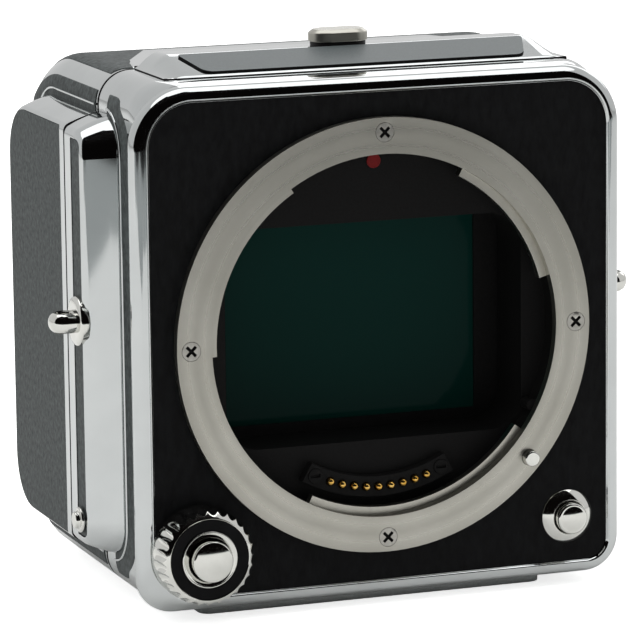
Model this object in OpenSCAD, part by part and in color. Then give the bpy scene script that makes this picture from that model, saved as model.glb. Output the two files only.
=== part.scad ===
// Medium format digital camera: a slim front body with a bayonet lens mount,
// and a digital back that hooks on behind it and tilts away.
// Millimetres. Origin at the mouth of the tripod socket, X to the right seen
// from the front, Y from the front to the back, Z up.

/* [Front body] */
// Width of the front body without its side rails
body_w = 84.2; // [82:0.1:88]
// Height of the front body without its foot
body_h = 85.7; // [84:0.1:90]
// Depth from the front leather to the seam with the back
front_depth = 24; // [23:0.5:28]
// Distance from the front leather back to the tripod axis
tripod_set_back = 13.4; // [12.5:0.1:14.5]
// Height of the mount axis over the middle of the body
axis_rise = 0.45; // [0:0.05:1]
// Thickness of the side, top and bottom walls
wall = 2.4; // [2:0.1:2.8]
// Thickness of the front wall behind the leather
front_wall = 3; // [2.6:0.1:3.4]
// Width of the chrome rim around the front leather
rim = 2.7; // [2.2:0.1:3.2]
// How far the rim stands in front of the leather
lip = 0.4; // [0.2:0.1:0.8]
// Depth of the rounded front edge
nose_depth = 3.4; // [2.8:0.1:4]
// Depth over which the front corners run out into the square box
corner_run = 8.5; // [7:0.5:9.4]
// Corner radius of the front edge at the top
nose_corner_top = 10; // [9:0.5:11]
// Corner radius of the front edge at the bottom
nose_corner_low = 6; // [5:0.5:7]
// Corner radius of the box at the seam
box_corner = 3; // [2.5:0.1:4]
// Height of the foot under the body
foot_h = 1.8; // [1.5:0.1:2.4]

/* [Leather] */
// Thickness of the front leather
leather_t = 0.8; // [0.6:0.1:1]
// Thickness of the leather strips and panels on the sides and the top
strip_t = 0.6; // [0.4:0.1:0.8]
// Corner radius of the front leather at the top
panel_corner_top = 7; // [6:0.5:8]
// Corner radius of the front leather at the bottom
panel_corner_low = 3.4; // [2.5:0.1:4]
// How far the front plate stands out over the sides of the body behind it
plate_overhang = 2; // [1.5:0.1:2.2]
// Depth of the front plate's rounded rim behind the leather
plate_rim_depth = 5.4; // [5:0.1:6]

/* [Side rails] */
// How far a rail stands out of the body's side
rail_proud = 5.9; // [5.4:0.1:6.4]
// Distance from the body's top and bottom to the rail
rail_inset = 5.5; // [5:0.1:6.5]
// Depth behind the front leather where the rail starts
rail_start = 13; // [12.4:0.1:13.6]
// Corner radius of the rail seen from the front
rail_corner = 2.4; // [1.8:0.1:2.8]
// Radius of the rail's front corners seen from the side
rail_front_corner = 6; // [4:0.5:7]
// Rounding of the rail's front edge seen from above
rail_nose = 2.2; // [1.8:0.1:3]
// Width of the chrome band at the front of the rail
rail_band = 2.6; // [2.4:0.1:3]
// Width of the leather strip behind that band
rail_strip = 5; // [4.5:0.1:5.5]
// Distance from the rail's ends to its leather strip
rail_strip_end = 3.4; // [3:0.1:5]

/* [Strap lugs] */
// Height of the lugs over the mount axis
lug_rise = 2.6; // [0:0.1:6]
// Diameter of the lug's flange
lug_flange_d = 8.6; // [8:0.1:9]
// Thickness of the lug's flange
lug_flange_t = 0.9; // [0.6:0.1:1]
// Reach of the lug's tongue from the rail
lug_reach = 5; // [4.6:0.1:7]
// Width of the tongue along the body
lug_w = 5.4; // [5:0.1:5.6]
// Thickness of the tongue
lug_t = 3.2; // [2.6:0.1:4]
// Diameter of the strap hole
lug_hole_d = 2.6; // [2.2:0.1:2.8]
// Depth of the grip stud's centre below the mount axis
stud_drop = 30.4; // [28:0.1:31]
// Diameter of the grip stud's disc
stud_d = 4.2; // [3.6:0.1:4.4]
// How far the grip stud stands out
stud_h = 1.5; // [1:0.1:2]

/* [Lens mount] */
// Outer diameter of the mount ring
ring_od = 71.4; // [70.6:0.1:72]
// Inner diameter of the mount ring
ring_bore_d = 59.6; // [59:0.1:60]
// How far the ring stands in front of the leather
ring_proud = 1.6; // [1.3:0.1:2]
// Wall of the ring's spigot inside the body
spigot_wall = 1; // [0.8:0.1:1.2]
// How far a bayonet tab reaches into the throat
tab_reach = 1.3; // [1:0.1:1.6]
// Thickness of a bayonet tab
tab_t = 1.6; // [1.3:0.1:1.8]
// Depth of the tabs behind the ring's face
tab_set_back = 1.6; // [1.3:0.1:1.9]
// Diameter of the circle of mount screws
screw_circle = 66.6; // [66:0.1:67]
// Diameter of a mount screw's head
screw_head_d = 3.1; // [2.8:0.1:3.3]
// Diameter of a mount screw's shank
screw_d = 1.8; // [1.5:0.1:2]
// Depth of a mount screw's head
screw_head_t = 1.2; // [1:0.1:1.4]
// Radius of the lens lock pin's place
lock_place = 33.4; // [33.2:0.1:33.6]
// Angle of the lens lock pin
lock_angle = -41.5; // [-44:0.5:-38]
// Diameter of the lens lock pin
lock_d = 2.6; // [2.2:0.1:2.8]

/* [Throat] */
// Width of the window in the baffle plate
window_w = 51.6; // [50:0.1:52]
// Height of the window in the baffle plate
window_h = 36.2; // [35:0.1:36.6]
// Corner radius of the window
window_corner = 5.5; // [4:0.5:7]
// Thickness of the baffle plate
baffle_t = 1.5; // [1.2:0.1:1.8]
// Wall of the light tunnel behind the window
tunnel_wall = 1.2; // [1:0.1:1.3]
// Gap between the light tunnel and the sensor frame
tunnel_gap = 1.2; // [1:0.1:1.6]
// Radius of the arc of contact pins
pin_circle_r = 25.5; // [25.2:0.1:25.8]
// Number of contact pins
pin_count = 9; // [5:1:9]
// Angle from one contact pin to the next
pin_step_angle = 4.8; // [4.4:0.1:4.9]
// Diameter of a contact pin
pin_d = 1.3; // [1.1:0.1:1.5]
// How far a contact pin stands out of its block
pin_proud = 0.9; // [0.8:0.1:1.2]
// Width of the contact block along the radius
block_w = 3.4; // [3:0.1:3.8]
// Thickness of the contact block
block_t = 1.8; // [1.5:0.1:2]
// Half of the contact block's arc, in degrees
block_half_arc = 29; // [28:0.5:31]
// Diameter of the red index dot
dot_d = 2.4; // [2:0.1:2.6]
// Height of the index dot over the mount axis
dot_rise = 28; // [27.6:0.1:28.2]

/* [Controls] */
// Distance of the dial and the release button from the leather's side edge, as a share of its width
control_side_share = 0.0888; // [0.084:0.0004:0.094]
// Height of both over the leather's lower edge, as a share of its height
control_rise_share = 0.0946; // [0.09:0.0004:0.1]
// Radius of the control dial, as a share of the room between its axis and the mount ring
dial_share = 0.758; // [0.7:0.002:0.78]
// Height of the control dial over the leather
dial_h = 6.6; // [6:0.1:7]
// Number of scallops around the dial
dial_scallops = 28; // [20:1:32]
// Diameter of the dial's black face ring, as a share of the dial's
dial_face_share = 0.888; // [0.86:0.002:0.9]
// Depth of the black face ring
dial_face_t = 0.6; // [0.4:0.1:0.8]
// Diameter of the hub that the dial turns on, as a share of the dial's
hub_share = 0.625; // [0.6:0.005:0.65]
// Diameter of the shutter button, as a share of the hub's
shutter_share = 0.71; // [0.66:0.01:0.74]
// How far the shutter button stands out of its hub
shutter_proud = 2.1; // [1.8:0.1:2.4]
// Travel of the shutter button
shutter_travel = 1.2; // [0.8:0.1:1.4]
// Outer diameter of the release button's bezel
bezel_d = 9; // [8.6:0.1:9.6]
// How far the bezel stands out of the leather
bezel_h = 1.2; // [0.8:0.1:1.4]
// Diameter of the release button
release_d = 5.3; // [4.8:0.1:5.6]
// How far the release button stands out of the leather
release_proud = 2.9; // [2.8:0.1:3.2]
// Travel of the release button, which draws the lock pin level with the ring
release_travel = 1.5; // [1.2:0.1:1.5]

/* [Top ridge] */
// Height of the ridge over the body's top
ridge_h = 3.3; // [2.8:0.1:3.8]
// Width of the ridge's top
ridge_w = 62; // [58:0.5:66]
// Width of one sloping end of the ridge
ridge_ramp = 6.5; // [5:0.5:8]
// Depth behind the front leather where the ridge starts
ridge_start = 4.3; // [4:0.1:5]
// Height of the name plate's front edge over the body's top
plate_front_h = 1.05; // [0.9:0.05:1.3]
// Depth of the name plate from front to back
plate_depth = 9; // [8:0.1:10]
// Thickness of the bare name plate
plate_t = 0.5; // [0.4:0.1:0.6]
// Width of the name plate at its rear
plate_w = 57.5; // [54:0.5:60]
// Width of the name plate at its front
plate_front_w = 52.5; // [48:0.5:54]
// Depth from the seam forward to the middle of the release slide
slide_set = 4.3; // [4:0.1:4.6]
// Length of the release slide
slide_l = 10; // [9:0.1:11]
// Width of the release slide
slide_w = 6; // [5.4:0.1:6.4]
// Height of the release slide over the ridge
slide_h = 2.5; // [2:0.1:3]
// Travel of the release slide
slide_travel = 4; // [3:0.1:4.5]

/* [Foot] */
// Width of the foot plate
foot_w = 60; // [56:1:64]
// Depth of the foot plate
foot_d = 16; // [15:0.5:17]
// Corner radius of the foot plate
foot_corner = 2; // [1:0.1:3]
// Radius of the tapped tripod socket
socket_r = 2.55; // [2.5:0.01:2.6]
// Depth of the tripod socket
socket_depth = 6; // [5.5:0.1:6.5]
// Outer diameter of the tripod bush
bush_d = 8.4; // [8:0.1:9]
// Distance between the foot screws along the foot
foot_screw_gap = 46; // [42:1:48]
// Diameter of a foot screw's head
foot_screw_d = 2.6; // [2.2:0.1:3]

/* [Digital back] */
// Depth of the back from the seam to its rear
back_depth = 41.8; // [41:0.1:44]
// Radius of the back's upper rear edge
back_round_top = 28; // [24:0.5:30]
// Distance that the centre of that edge lies further back, so that the rear face cuts it off
back_round_shift = 8.5; // [6:0.5:10]
// Radius of the back's lower rear edge
back_round_low = 10; // [8:0.5:11]
// Depth of the back's side rails from the seam
back_rail_depth = 34; // [33:0.5:36]
// Corner radius of the side rail's rear corners
back_rail_corner = 10; // [6:0.5:12]
// Width of the chrome band around the leather panels
back_band = 2.1; // [1.8:0.1:3]
// Gap between the front body and the back
seam_gap = 0.3; // [0.2:0.05:0.4]

/* [Sensor] */
// Width of the sensor
sensor_w = 43.8; // [43:0.1:44]
// Height of the sensor
sensor_h = 32.9; // [32:0.1:33]
// Distance from the ring's face to the sensor
flange_depth = 18.14; // [18:0.01:18.3]
// Thickness of the sensor
sensor_t = 1; // [0.8:0.1:1.2]
// Thickness of the glass over the sensor
glass_t = 1.2; // [1:0.1:1.4]
// Thickness of the board behind the sensor
sensor_board_t = 1.6; // [1.2:0.1:1.8]
// Border of the frame over the edge of the glass
frame_lap = 1.5; // [1:0.1:2]
// Wall of the sensor frame around the glass
frame_wall = 3; // [2.5:0.1:3.5]
// Front lip of the sensor frame
frame_lip = 0.5; // [0.4:0.1:0.6]
// Thickness of the plate that carries the sensor frame
frame_plate_t = 2.4; // [2:0.1:2.8]
// Clearance around the sensor frame in the front body
tower_clear = 2.2; // [2:0.1:2.6]

/* [Back inside] */
// Distance from the seam to the main board
board_set = 9; // [8:0.1:10]
// Thickness of the main board
board_t = 1.6; // [1.2:0.1:2]
// Height of the main board
board_h = 60; // [50:1:64]
// Length of the card socket
card_h = 26; // [24:1:30]
// Depth of the card socket
card_d = 9; // [8:0.1:10]
// Width of the card socket
card_w = 11; // [10:0.1:12]

/* [Card door] */
// Distance from the seam to the door's front edge
door_set = 3; // [2.6:0.1:4]
// Depth of the door
door_d = 26; // [24:0.5:27]
// Height of the door
door_h = 66; // [60:0.5:68]
// Thickness of the door
door_t = 1.8; // [1.6:0.1:2]
// Diameter of the door's hinge pin
door_pin_d = 0.9; // [0.8:0.05:1]

/* [Battery] */
// Width of the battery
battery_w = 40; // [36:0.5:42]
// Depth of the battery
battery_d = 17; // [15:0.5:18]
// Height of the battery inside the back
battery_h = 52; // [46:1:54]
// Distance from the seam to the battery
battery_set = 14; // [13.6:0.1:16]
// Border of the battery's cap outside its bay
cap_border = 2.5; // [2:0.1:3]
// Length of the battery latch
latch_l = 9; // [8:0.1:10]
// Width of the battery latch
latch_w = 3; // [2.6:0.1:3.4]
// Travel of the battery latch
latch_travel = 3; // [2:0.1:3.5]

/* [Rear and screen] */
// Distance from the body's side to the rear panel
panel_margin = 1.1; // [0.8:0.1:1.6]
// Distance from the body's top to the rear panel
panel_rear_drop = 10.2; // [9:0.1:12]
// Height of the strip with the buttons under the screen
button_strip = 12; // [11.5:0.1:13]
// Thickness of the rear panel behind the back
panel_rear_t = 2.4; // [2.2:0.1:2.6]
// Distance from the rear panel's side to the screen
screen_margin = 4; // [3.6:0.1:5]
// Height of the screen
screen_h = 51; // [49:0.5:52]
// Thickness of the screen
screen_t = 7.2; // [6.8:0.1:7.6]
// Corner radius of the screen
screen_corner = 3; // [2:0.5:4]
// Border of the screen around its glass
screen_border = 3; // [2.5:0.1:4]
// Thickness of the screen glass
screen_glass_t = 0.8; // [0.6:0.1:1]
// Diameter of the screen's hinge pins
hinge_pin_d = 2; // [1.6:0.1:2.4]
// Thickness of the hinge ears
hinge_ear_t = 2.4; // [2:0.1:2.8]
// Number of rear buttons
button_count = 5; // [5]
// Distance from one rear button to the next
button_gap = 14; // [12:0.5:15]
// Diameter of a rear button
button_d = 6; // [5:0.1:6.4]
// How far a rear button stands out of the panel
button_proud = 1.1; // [1:0.1:1.4]
// Travel of a rear button
button_travel = 0.6; // [0.4:0.1:0.6]
// Height of the buttons over the panel's lower edge
button_rise = 5.6; // [5:0.1:6]

/* [Fits] */
// Radial clearance of a running fit
run_clear = 0.06; // [0.03:0.01:0.09]
// Clearance between a moving piece and its neighbour
move_clear = 0.35; // [0.3:0.05:0.45]
// Clearance of a screw in its hole
screw_clear = 0.05; // [0.03:0.01:0.1]

/* [Hidden] */
$fn = 72;
// Fineness of the rounded slices that the outer casing is stretched over
slice_fn = 32;
// Thickness of the slice at the full width
slice_t = 0.6;
// Overlap that makes a cut run past a face
over = 1;

// Planes of the camera from front to back
leather_y = -tripod_set_back;
nose_y = leather_y + nose_depth;
ring_y = leather_y - ring_proud;
wall_front_y = leather_y + leather_t;
wall_back_y = wall_front_y + front_wall;
seam_y = leather_y + front_depth;
back_y = seam_y + seam_gap;
rear_y = seam_y + back_depth;
sensor_y = ring_y + flange_depth;
tower_y = sensor_y - glass_t - frame_lip;
tunnel_end_y = tower_y - tunnel_gap;
baffle_back_y = wall_back_y + baffle_t;
board_y = seam_y + board_set;
panel_y = rear_y + panel_rear_t;
screen_y = panel_y + move_clear;
screen_face_y = screen_y + screen_t;

// Heights
bottom_z = foot_h;
top_z = foot_h + body_h;
mid_z = foot_h + body_h / 2;
axis_z = mid_z + axis_rise;
rail_low_z = bottom_z + rail_inset;
rail_high_z = top_z - rail_inset;
ridge_z = top_z + ridge_h;
lug_z = axis_z + lug_rise;
stud_z = axis_z - stud_drop;

// Outline of the front leather
panel_w = body_w - 2 * rim;
panel_h = body_h - 2 * rim;
control_x = panel_w * (0.5 - control_side_share);
control_z = mid_z - panel_h * (0.5 - control_rise_share);

// Side planes
side_x = body_w / 2 - plate_overhang;
rail_x = side_x + rail_proud;
inner_x = side_x - wall;
inner_h = body_h - 2 * wall;
nose_inset = rim / 2;
inner_corner = 1;

// Lens mount
bore_r = ring_bore_d / 2;
ring_relief = 0.4;
relief_r = bore_r + ring_relief;
throat_r = relief_r + spigot_wall;
baffle_r = lock_place - lock_d / 2 - move_clear;
spigot_y = wall_back_y;
tab_angles = [[15, 62], [122, 183], [244, 324]];
stop_angle = -27.7;
stop_d = 2;
lock_x = lock_place * cos(lock_angle);
lock_z = axis_z + lock_place * sin(lock_angle);
yoke_y = baffle_back_y + 2 * move_clear;
yoke_t = 1.2;
yoke_r = 2.2;
yoke_bar = 3;
cross_l = screw_head_d * 0.7;
cross_w = screw_head_d * 0.16;
slot_depth = 0.4;

// Throat
tunnel_corner = 2;

// Contact block
block_screw_d = 2.4;
block_screw_proud = 0.2;
block_screw_angle = 25.5;
pin_tilt_angle = -0.7;
block_y = wall_back_y - block_t;
dot_t = 0.3;

// Lens release and dial
bezel_slope = 1.6;
dial_gap = lip + move_clear;
dial_d = 2 * dial_share * (norm([control_x, axis_z - control_z]) - ring_od / 2);
dial_face_d = dial_d * dial_face_share;
hub_d = dial_d * hub_share;
shutter_d = hub_d * shutter_share;
dial_y = leather_y - dial_h;
hub_proud = 0.2;
hub_y = dial_y - hub_proud;
shutter_y = hub_y - shutter_proud;
shutter_stem_d = shutter_d * 0.36;
scallop_d = dial_d / 8;
scallop_place = dial_d / 2 + scallop_d * 0.28;
stem_tail = 2.4;
stem_y = wall_back_y + stem_tail;
skirt_l = 2.4;
shutter_skirt_y = hub_y + skirt_l;
dial_collar = dial_d * 0.019;

// Rails on the front body
rail_y = leather_y + rail_start;
rail_h = rail_high_z - rail_low_z;
rail_edge = 0.2;
strip_y = leather_y + plate_rim_depth;
rail_strip_y = rail_y + rail_band;
lug_y = rail_strip_y + rail_strip / 2;
lug_hole_x = rail_x + lug_reach - lug_w / 2;

// Ridge
plate_front_y = leather_y + ridge_start;
plate_rear_y = plate_front_y + plate_depth;
plate_margin = 0.4;
plate_slope = (ridge_h - plate_front_h) / plate_depth;
plate_low_z = top_z + plate_front_h + plate_margin * plate_slope;
slide_y = seam_y - slide_set;
neck_d = 2.4;
neck_depth = 1.4;
slide_step = 1.2;
slide_ledge = 1;

// Foot
foot_screw_head = foot_h * 0.7;
bush_floor = 1.2;
bush_flange = 1.5;
bush_flange_t = 1;

// Front body inside
board_room = 1;
board_end = 4;
rear_frame_t = 2;

// Sensor frame
glass_w = sensor_w + 2 * frame_lap;
glass_h = sensor_h + 2 * frame_lap;
tower_w = glass_w + 2 * frame_wall;
tower_h = glass_h + 2 * frame_wall;
tower_corner = 2;

// Hooks between the front body and the back
hook_x = 24;
hook_w = 8;
hook_t = 2.4;
hook_reach = 2.6;
hook_lift = 0.6;
hook_z = bottom_z + wall + hook_lift;
hook_room = 1.4;

// Back shell
top_margin = 0.2;
round_cut = back_round_top - back_round_shift;
round_drop = back_round_top - sqrt(back_round_top * back_round_top - round_cut * round_cut);
top_leather_drop = round_drop - strip_t;
sill_d = 6;

// Card door
door_y = seam_y + door_set;
door_axis_x = rail_x - door_t / 2;
door_axis_y = door_y + door_d - door_t / 2;
door_low_z = mid_z - door_h / 2;
pin_tail = 1.6;
door_edge = 1;
card_wall = 1.2;
card_slot = 1.4;

// Battery
battery_y = seam_y + battery_set;
battery_mid_y = battery_y + battery_d / 2;
cap_corner = 2;
latch_room = 1.3;
latch_y = battery_y + battery_d + cap_border + latch_w / 2 + latch_room;
latch_t = 1.6;
latch_proud = 0.6;

// Rear panel and screen
screen_drop = 1;
panel_rear_w = 2 * (side_x - panel_margin);
panel_rear_h = screen_drop + screen_h + button_strip;
panel_rear_z = top_z - panel_rear_drop - panel_rear_h;
screen_w = panel_rear_w - 2 * screen_margin;
panel_rear_corner = 3;
panel_screw_r = 0.9;
panel_screw_l = 1;
panel_screw_low = 3;
panel_screw_high = 16;
panel_screw_side = 2;
screen_axis_z = panel_rear_z + panel_rear_h - screen_drop - screen_t / 2;
screen_axis_y = screen_y + screen_t / 2;
screen_low_z = screen_axis_z + screen_t / 2 - screen_h;
button_z = panel_rear_z + button_rise;
button_floor = 0.6;
button_base = panel_rear_t - button_floor;
button_play = 0.1;
hinge_pin_l = 3;
hinge_hole_l = hinge_pin_l + move_clear;
glass_corner = 1;
screen_edge = 0.2;

// Shapes that repeat

// A flat outline pushed along Y, its own axes lying along X and Z
module along_y(y0, y1) {
    translate([0, y1, 0]) rotate([90, 0, 0]) linear_extrude(y1 - y0) children();
}

// A flat outline pushed along X, its own axes lying along Y and Z
module along_x(x0, x1) {
    translate([x0, 0, 0]) rotate([90, 0, 90]) linear_extrude(x1 - x0) children();
}

// A flat outline pushed along Z
module along_z(z0, z1) {
    translate([0, 0, z0]) linear_extrude(z1 - z0) children();
}

// A round bar along Y
module rod_y(x, z, r, y0, y1) {
    translate([x, y1, z]) rotate([90, 0, 0]) cylinder(r = r, h = y1 - y0);
}

// A round bar along X
module rod_x(y, z, r, x0, x1) {
    translate([x0, y, z]) rotate([0, 90, 0]) cylinder(r = r, h = x1 - x0);
}

// A rectangle with its own corner radius at the top and at the bottom
module round_rect(w, h, top_r, low_r) {
    translate([-w / 2, -h / 2 + low_r]) square([w, h - top_r - low_r]);
    translate([-w / 2 + top_r, h / 2 - top_r]) square([w - 2 * top_r, top_r]);
    translate([-w / 2 + low_r, -h / 2]) square([w - 2 * low_r, low_r]);
    for (s = [-1, 1]) {
        translate([s * (w / 2 - top_r), h / 2 - top_r]) circle(r = top_r);
        translate([s * (w / 2 - low_r), low_r - h / 2]) circle(r = low_r);
    }
}

// A bar with round ends
module stadium(l, w) {
    square([l - w, w], center = true);
    for (s = [-1, 1]) translate([s * (l - w) / 2, 0]) circle(d = w);
}

// One slice of the outer casing
module casing_slice(y0, y1, inset, top_r, low_r) {
    translate([0, 0, mid_z]) along_y(y0, y1)
        round_rect(body_w - 2 * inset, body_h - 2 * inset, top_r, low_r, $fn = slice_fn);
}

// Outline of the front leather
module front_panel() {
    translate([0, mid_z]) round_rect(panel_w, panel_h, panel_corner_top, panel_corner_low);
}

// Place of each mount screw
module at_mount_screws() {
    for (a = [0:90:270])
        translate([screw_circle / 2 * cos(a), 0, axis_z + screw_circle / 2 * sin(a)]) children();
}

// A mount screw, or the hole for it, which runs past both ends
module mount_screw(clear, past = 0) {
    rod_y(0, 0, screw_head_d / 2 + clear, ring_y - past, ring_y + screw_head_t);
    rod_y(0, 0, screw_d / 2 + clear, ring_y, wall_back_y + past);
}

// The foot screws, or the holes for them, which run past both ends
module foot_screw(clear, past = 0) {
    for (s = [-1, 1]) translate([s * foot_screw_gap / 2, 0, 0]) {
        translate([0, 0, -past]) cylinder(d = foot_screw_d + 2 * clear, h = foot_screw_head + past);
        cylinder(d = foot_screw_d / 2 + 2 * clear, h = foot_h + wall + past);
    }
}

// An arc-shaped block around the mount axis, facing the front
module arc_block(r0, r1, a0, a1, y0, y1) {
    translate([0, y1, axis_z]) rotate([90, 0, 0]) rotate([0, 0, a0])
        rotate_extrude(angle = a1 - a0) translate([r0, 0]) square([r1 - r0, y1 - y0]);
}

// Place of each contact pin
module at_contact_pins() {
    for (i = [0:pin_count - 1]) {
        a = pin_tilt_angle - 90 + (i - (pin_count - 1) / 2) * pin_step_angle;
        translate([pin_circle_r * cos(a), 0, axis_z + pin_circle_r * sin(a)]) children();
    }
}

// Place of each contact block screw
module at_block_screws() {
    for (s = [-1, 1]) {
        a = pin_tilt_angle - 90 + s * block_screw_angle;
        translate([pin_circle_r * cos(a), 0, axis_z + pin_circle_r * sin(a)]) children();
    }
}

// Front body

module front_frame() {
    color("gainsboro") difference() {
        hull() {
            casing_slice(leather_y - lip, leather_y, nose_inset, nose_corner_top, nose_corner_low);
            casing_slice(nose_y - slice_t, nose_y, 0, nose_corner_top, nose_corner_low);
            casing_slice(leather_y + corner_run, seam_y, 0, box_corner, box_corner);
        }
        along_y(leather_y - lip - over, wall_front_y) front_panel();
        translate([0, 0, mid_z]) along_y(wall_back_y, seam_y + over)
            round_rect(2 * inner_x, inner_h, inner_corner, inner_corner);
        rod_y(0, axis_z, throat_r, wall_front_y - over, wall_back_y + over);
        at_mount_screws() mount_screw(screw_clear, over);
        rod_y(lock_x, lock_z, lock_d / 2 + run_clear, wall_front_y - over, wall_back_y + over);
        rod_y(-control_x, control_z, hub_d / 2, wall_front_y - over, wall_back_y + over);
        rod_y(control_x, control_z, release_d / 2 + run_clear, wall_front_y - over, wall_back_y + over);
        cylinder(d = bush_d, h = foot_h + wall + over);
        foot_screw(screw_clear, over);
        side_relief();
        side_strips(over);
    }
}

// Room behind the front plate, where the sides of the body lie further in
module side_relief() {
    for (s = [-1, 1])
        translate([s * (side_x + plate_overhang), (strip_y + seam_y) / 2 + over, mid_z])
            cube([2 * plate_overhang, seam_y - strip_y + 2 * over, body_h + 2 * over], center = true);
}

// The two leather strips between the rounded front edge and the side rails
module side_strips(past = 0) {
    for (s = [-1, 1])
        translate([s * (side_x + past / 2 - strip_t / 2), (strip_y + rail_y) / 2, mid_z])
            cube([strip_t + past, rail_y - strip_y, body_h - 2 * nose_corner_top], center = true);
}

module side_strip_leather() {
    color("dimgray") side_strips();
}

module front_leather() {
    color("#161618") difference() {
        along_y(leather_y, wall_front_y) front_panel();
        rod_y(0, axis_z, ring_od / 2, leather_y - over, wall_front_y + over);
        rod_y(-control_x, control_z, hub_d / 2, leather_y - over, wall_front_y + over);
        rod_y(control_x, control_z, bezel_d / 2, leather_y - over, wall_front_y + over);
    }
}

// Side rails

// Outer form of a rail on the right, from one depth to another, with the corners
// of its side outline and of its outline from above
module rail_form(y0, y1, front_r, rear_r, plan_front_r, plan_rear_r) {
    intersection() {
        along_z(rail_low_z, rail_high_z) translate([0, (y0 + y1) / 2])
            round_rect(2 * rail_x, y1 - y0, plan_rear_r, plan_front_r);
        along_x(side_x, rail_x) translate([(y0 + y1) / 2, mid_z]) rotate(90)
            round_rect(rail_h, y1 - y0, front_r, rear_r);
        translate([0, 0, mid_z]) along_y(y0, y1)
            round_rect(2 * rail_x, rail_h, rail_corner, rail_corner);
    }
}

// Leather strip on a rail of the front body, on the right
module rail_strip_form() {
    translate([rail_x - strip_t / 2, rail_strip_y + rail_strip / 2, mid_z])
        cube([strip_t, rail_strip, rail_h - 2 * rail_strip_end], center = true);
}

module side_rail() {
    difference() {
        rail_form(rail_y, seam_y, rail_front_corner, rail_edge, rail_nose, rail_edge);
        rail_strip_form();
    }
}

module side_rail_left() {
    color("gainsboro") mirror([1, 0, 0]) side_rail();
}

module side_rail_right() {
    color("gainsboro") side_rail();
}

module rail_strip_leather() {
    color("dimgray") {
        rail_strip_form();
        mirror([1, 0, 0]) rail_strip_form();
    }
}

// Strap lugs and grip stud

module strap_lug() {
    translate([0, lug_y, lug_z]) difference() {
        union() {
            rod_x(0, 0, lug_flange_d / 2, rail_x, rail_x + lug_flange_t);
            intersection() {
                along_z(-lug_t / 2, lug_t / 2) {
                    translate([side_x, -lug_w / 2]) square([lug_hole_x - side_x, lug_w]);
                    translate([lug_hole_x, 0]) circle(d = lug_w);
                }
                translate([rail_x, -lug_w, -lug_t]) cube([lug_reach + over, 2 * lug_w, 2 * lug_t]);
            }
        }
        along_z(-lug_t / 2 - over, lug_t / 2 + over) translate([lug_hole_x, 0]) circle(d = lug_hole_d);
    }
}

module strap_lug_left() {
    color("silver") mirror([1, 0, 0]) strap_lug();
}

module strap_lug_right() {
    color("silver") strap_lug();
}

module grip_stud() {
    color("silver") {
        rod_x(lug_y, stud_z, stud_d / 2, -rail_x - stud_h / 2, -rail_x);
        rod_x(lug_y, stud_z, stud_d / 3, -rail_x - stud_h, -rail_x - stud_h / 2);
    }
}

// Lens mount

module lens_mount_ring() {
    color("darkgray") difference() {
        union() {
            difference() {
                union() {
                    rod_y(0, axis_z, ring_od / 2, ring_y, wall_front_y);
                    rod_y(0, axis_z, throat_r, ring_y, spigot_y);
                }
                rod_y(0, axis_z, bore_r, ring_y - over, ring_y + tab_set_back + over);
                rod_y(0, axis_z, relief_r, ring_y + tab_set_back, spigot_y + over);
            }
            for (a = tab_angles)
                arc_block(bore_r - tab_reach, relief_r + spigot_wall / 2, a[0], a[1],
                    ring_y + tab_set_back, ring_y + tab_set_back + tab_t);
            rod_y(bore_r * cos(stop_angle), axis_z + bore_r * sin(stop_angle), stop_d / 2,
                ring_y + tab_set_back + stop_d / 8, spigot_y - stop_d / 4);
        }
        at_mount_screws() mount_screw(screw_clear, over);
        rod_y(lock_x, lock_z, lock_d / 2 + run_clear, ring_y - over, wall_front_y + over);
    }
}

module mount_screws() {
    color("silver") at_mount_screws() difference() {
        mount_screw(0);
        for (a = [45, 135])
            translate([0, ring_y, 0]) rotate([0, a, 0])
                cube([cross_l, 2 * slot_depth, cross_w], center = true);
    }
}

// Throat

module baffle_plate() {
    color("#101011") difference() {
        union() {
            rod_y(0, axis_z, baffle_r, wall_back_y, baffle_back_y);
            translate([0, 0, axis_z]) along_y(wall_back_y, tunnel_end_y)
                round_rect(window_w + 2 * tunnel_wall, window_h + 2 * tunnel_wall, tunnel_corner,
                    tunnel_corner);
        }
        translate([0, 0, axis_z]) along_y(wall_back_y - over, tunnel_end_y + over)
            round_rect(window_w, window_h, window_corner, window_corner);
        at_contact_pins() rod_y(0, 0, pin_d / 2 + run_clear, wall_back_y - over, baffle_back_y + over);
    }
}

module contact_block() {
    color("#1b1b1c") difference() {
        arc_block(pin_circle_r - block_w / 2, pin_circle_r + block_w / 2,
            pin_tilt_angle - 90 - block_half_arc, pin_tilt_angle - 90 + block_half_arc, block_y, wall_back_y);
        at_contact_pins() rod_y(0, 0, pin_d / 2 + run_clear, block_y - over, wall_back_y + over);
        at_block_screws() rod_y(0, 0, block_screw_d / 2, block_y - over, wall_back_y + over);
    }
}

module block_screws() {
    color("#252526") at_block_screws() difference() {
        rod_y(0, 0, block_screw_d / 2, block_y - block_screw_proud, wall_back_y);
        translate([0, block_y - block_screw_proud, 0])
            cube([block_screw_d * 0.7, 2 * slot_depth, cross_w], center = true);
    }
}

module contact_pins() {
    color("gold") at_contact_pins() {
        tip_y = block_y - pin_proud;
        rod_y(0, 0, pin_d / 2, tip_y + pin_d / 2, baffle_back_y);
        translate([0, tip_y + pin_d / 2, 0]) sphere(d = pin_d);
    }
}

module index_dot() {
    color("firebrick") rod_y(0, axis_z + dot_rise, dot_d / 2, wall_back_y - dot_t, wall_back_y);
}

// Lens release

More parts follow.
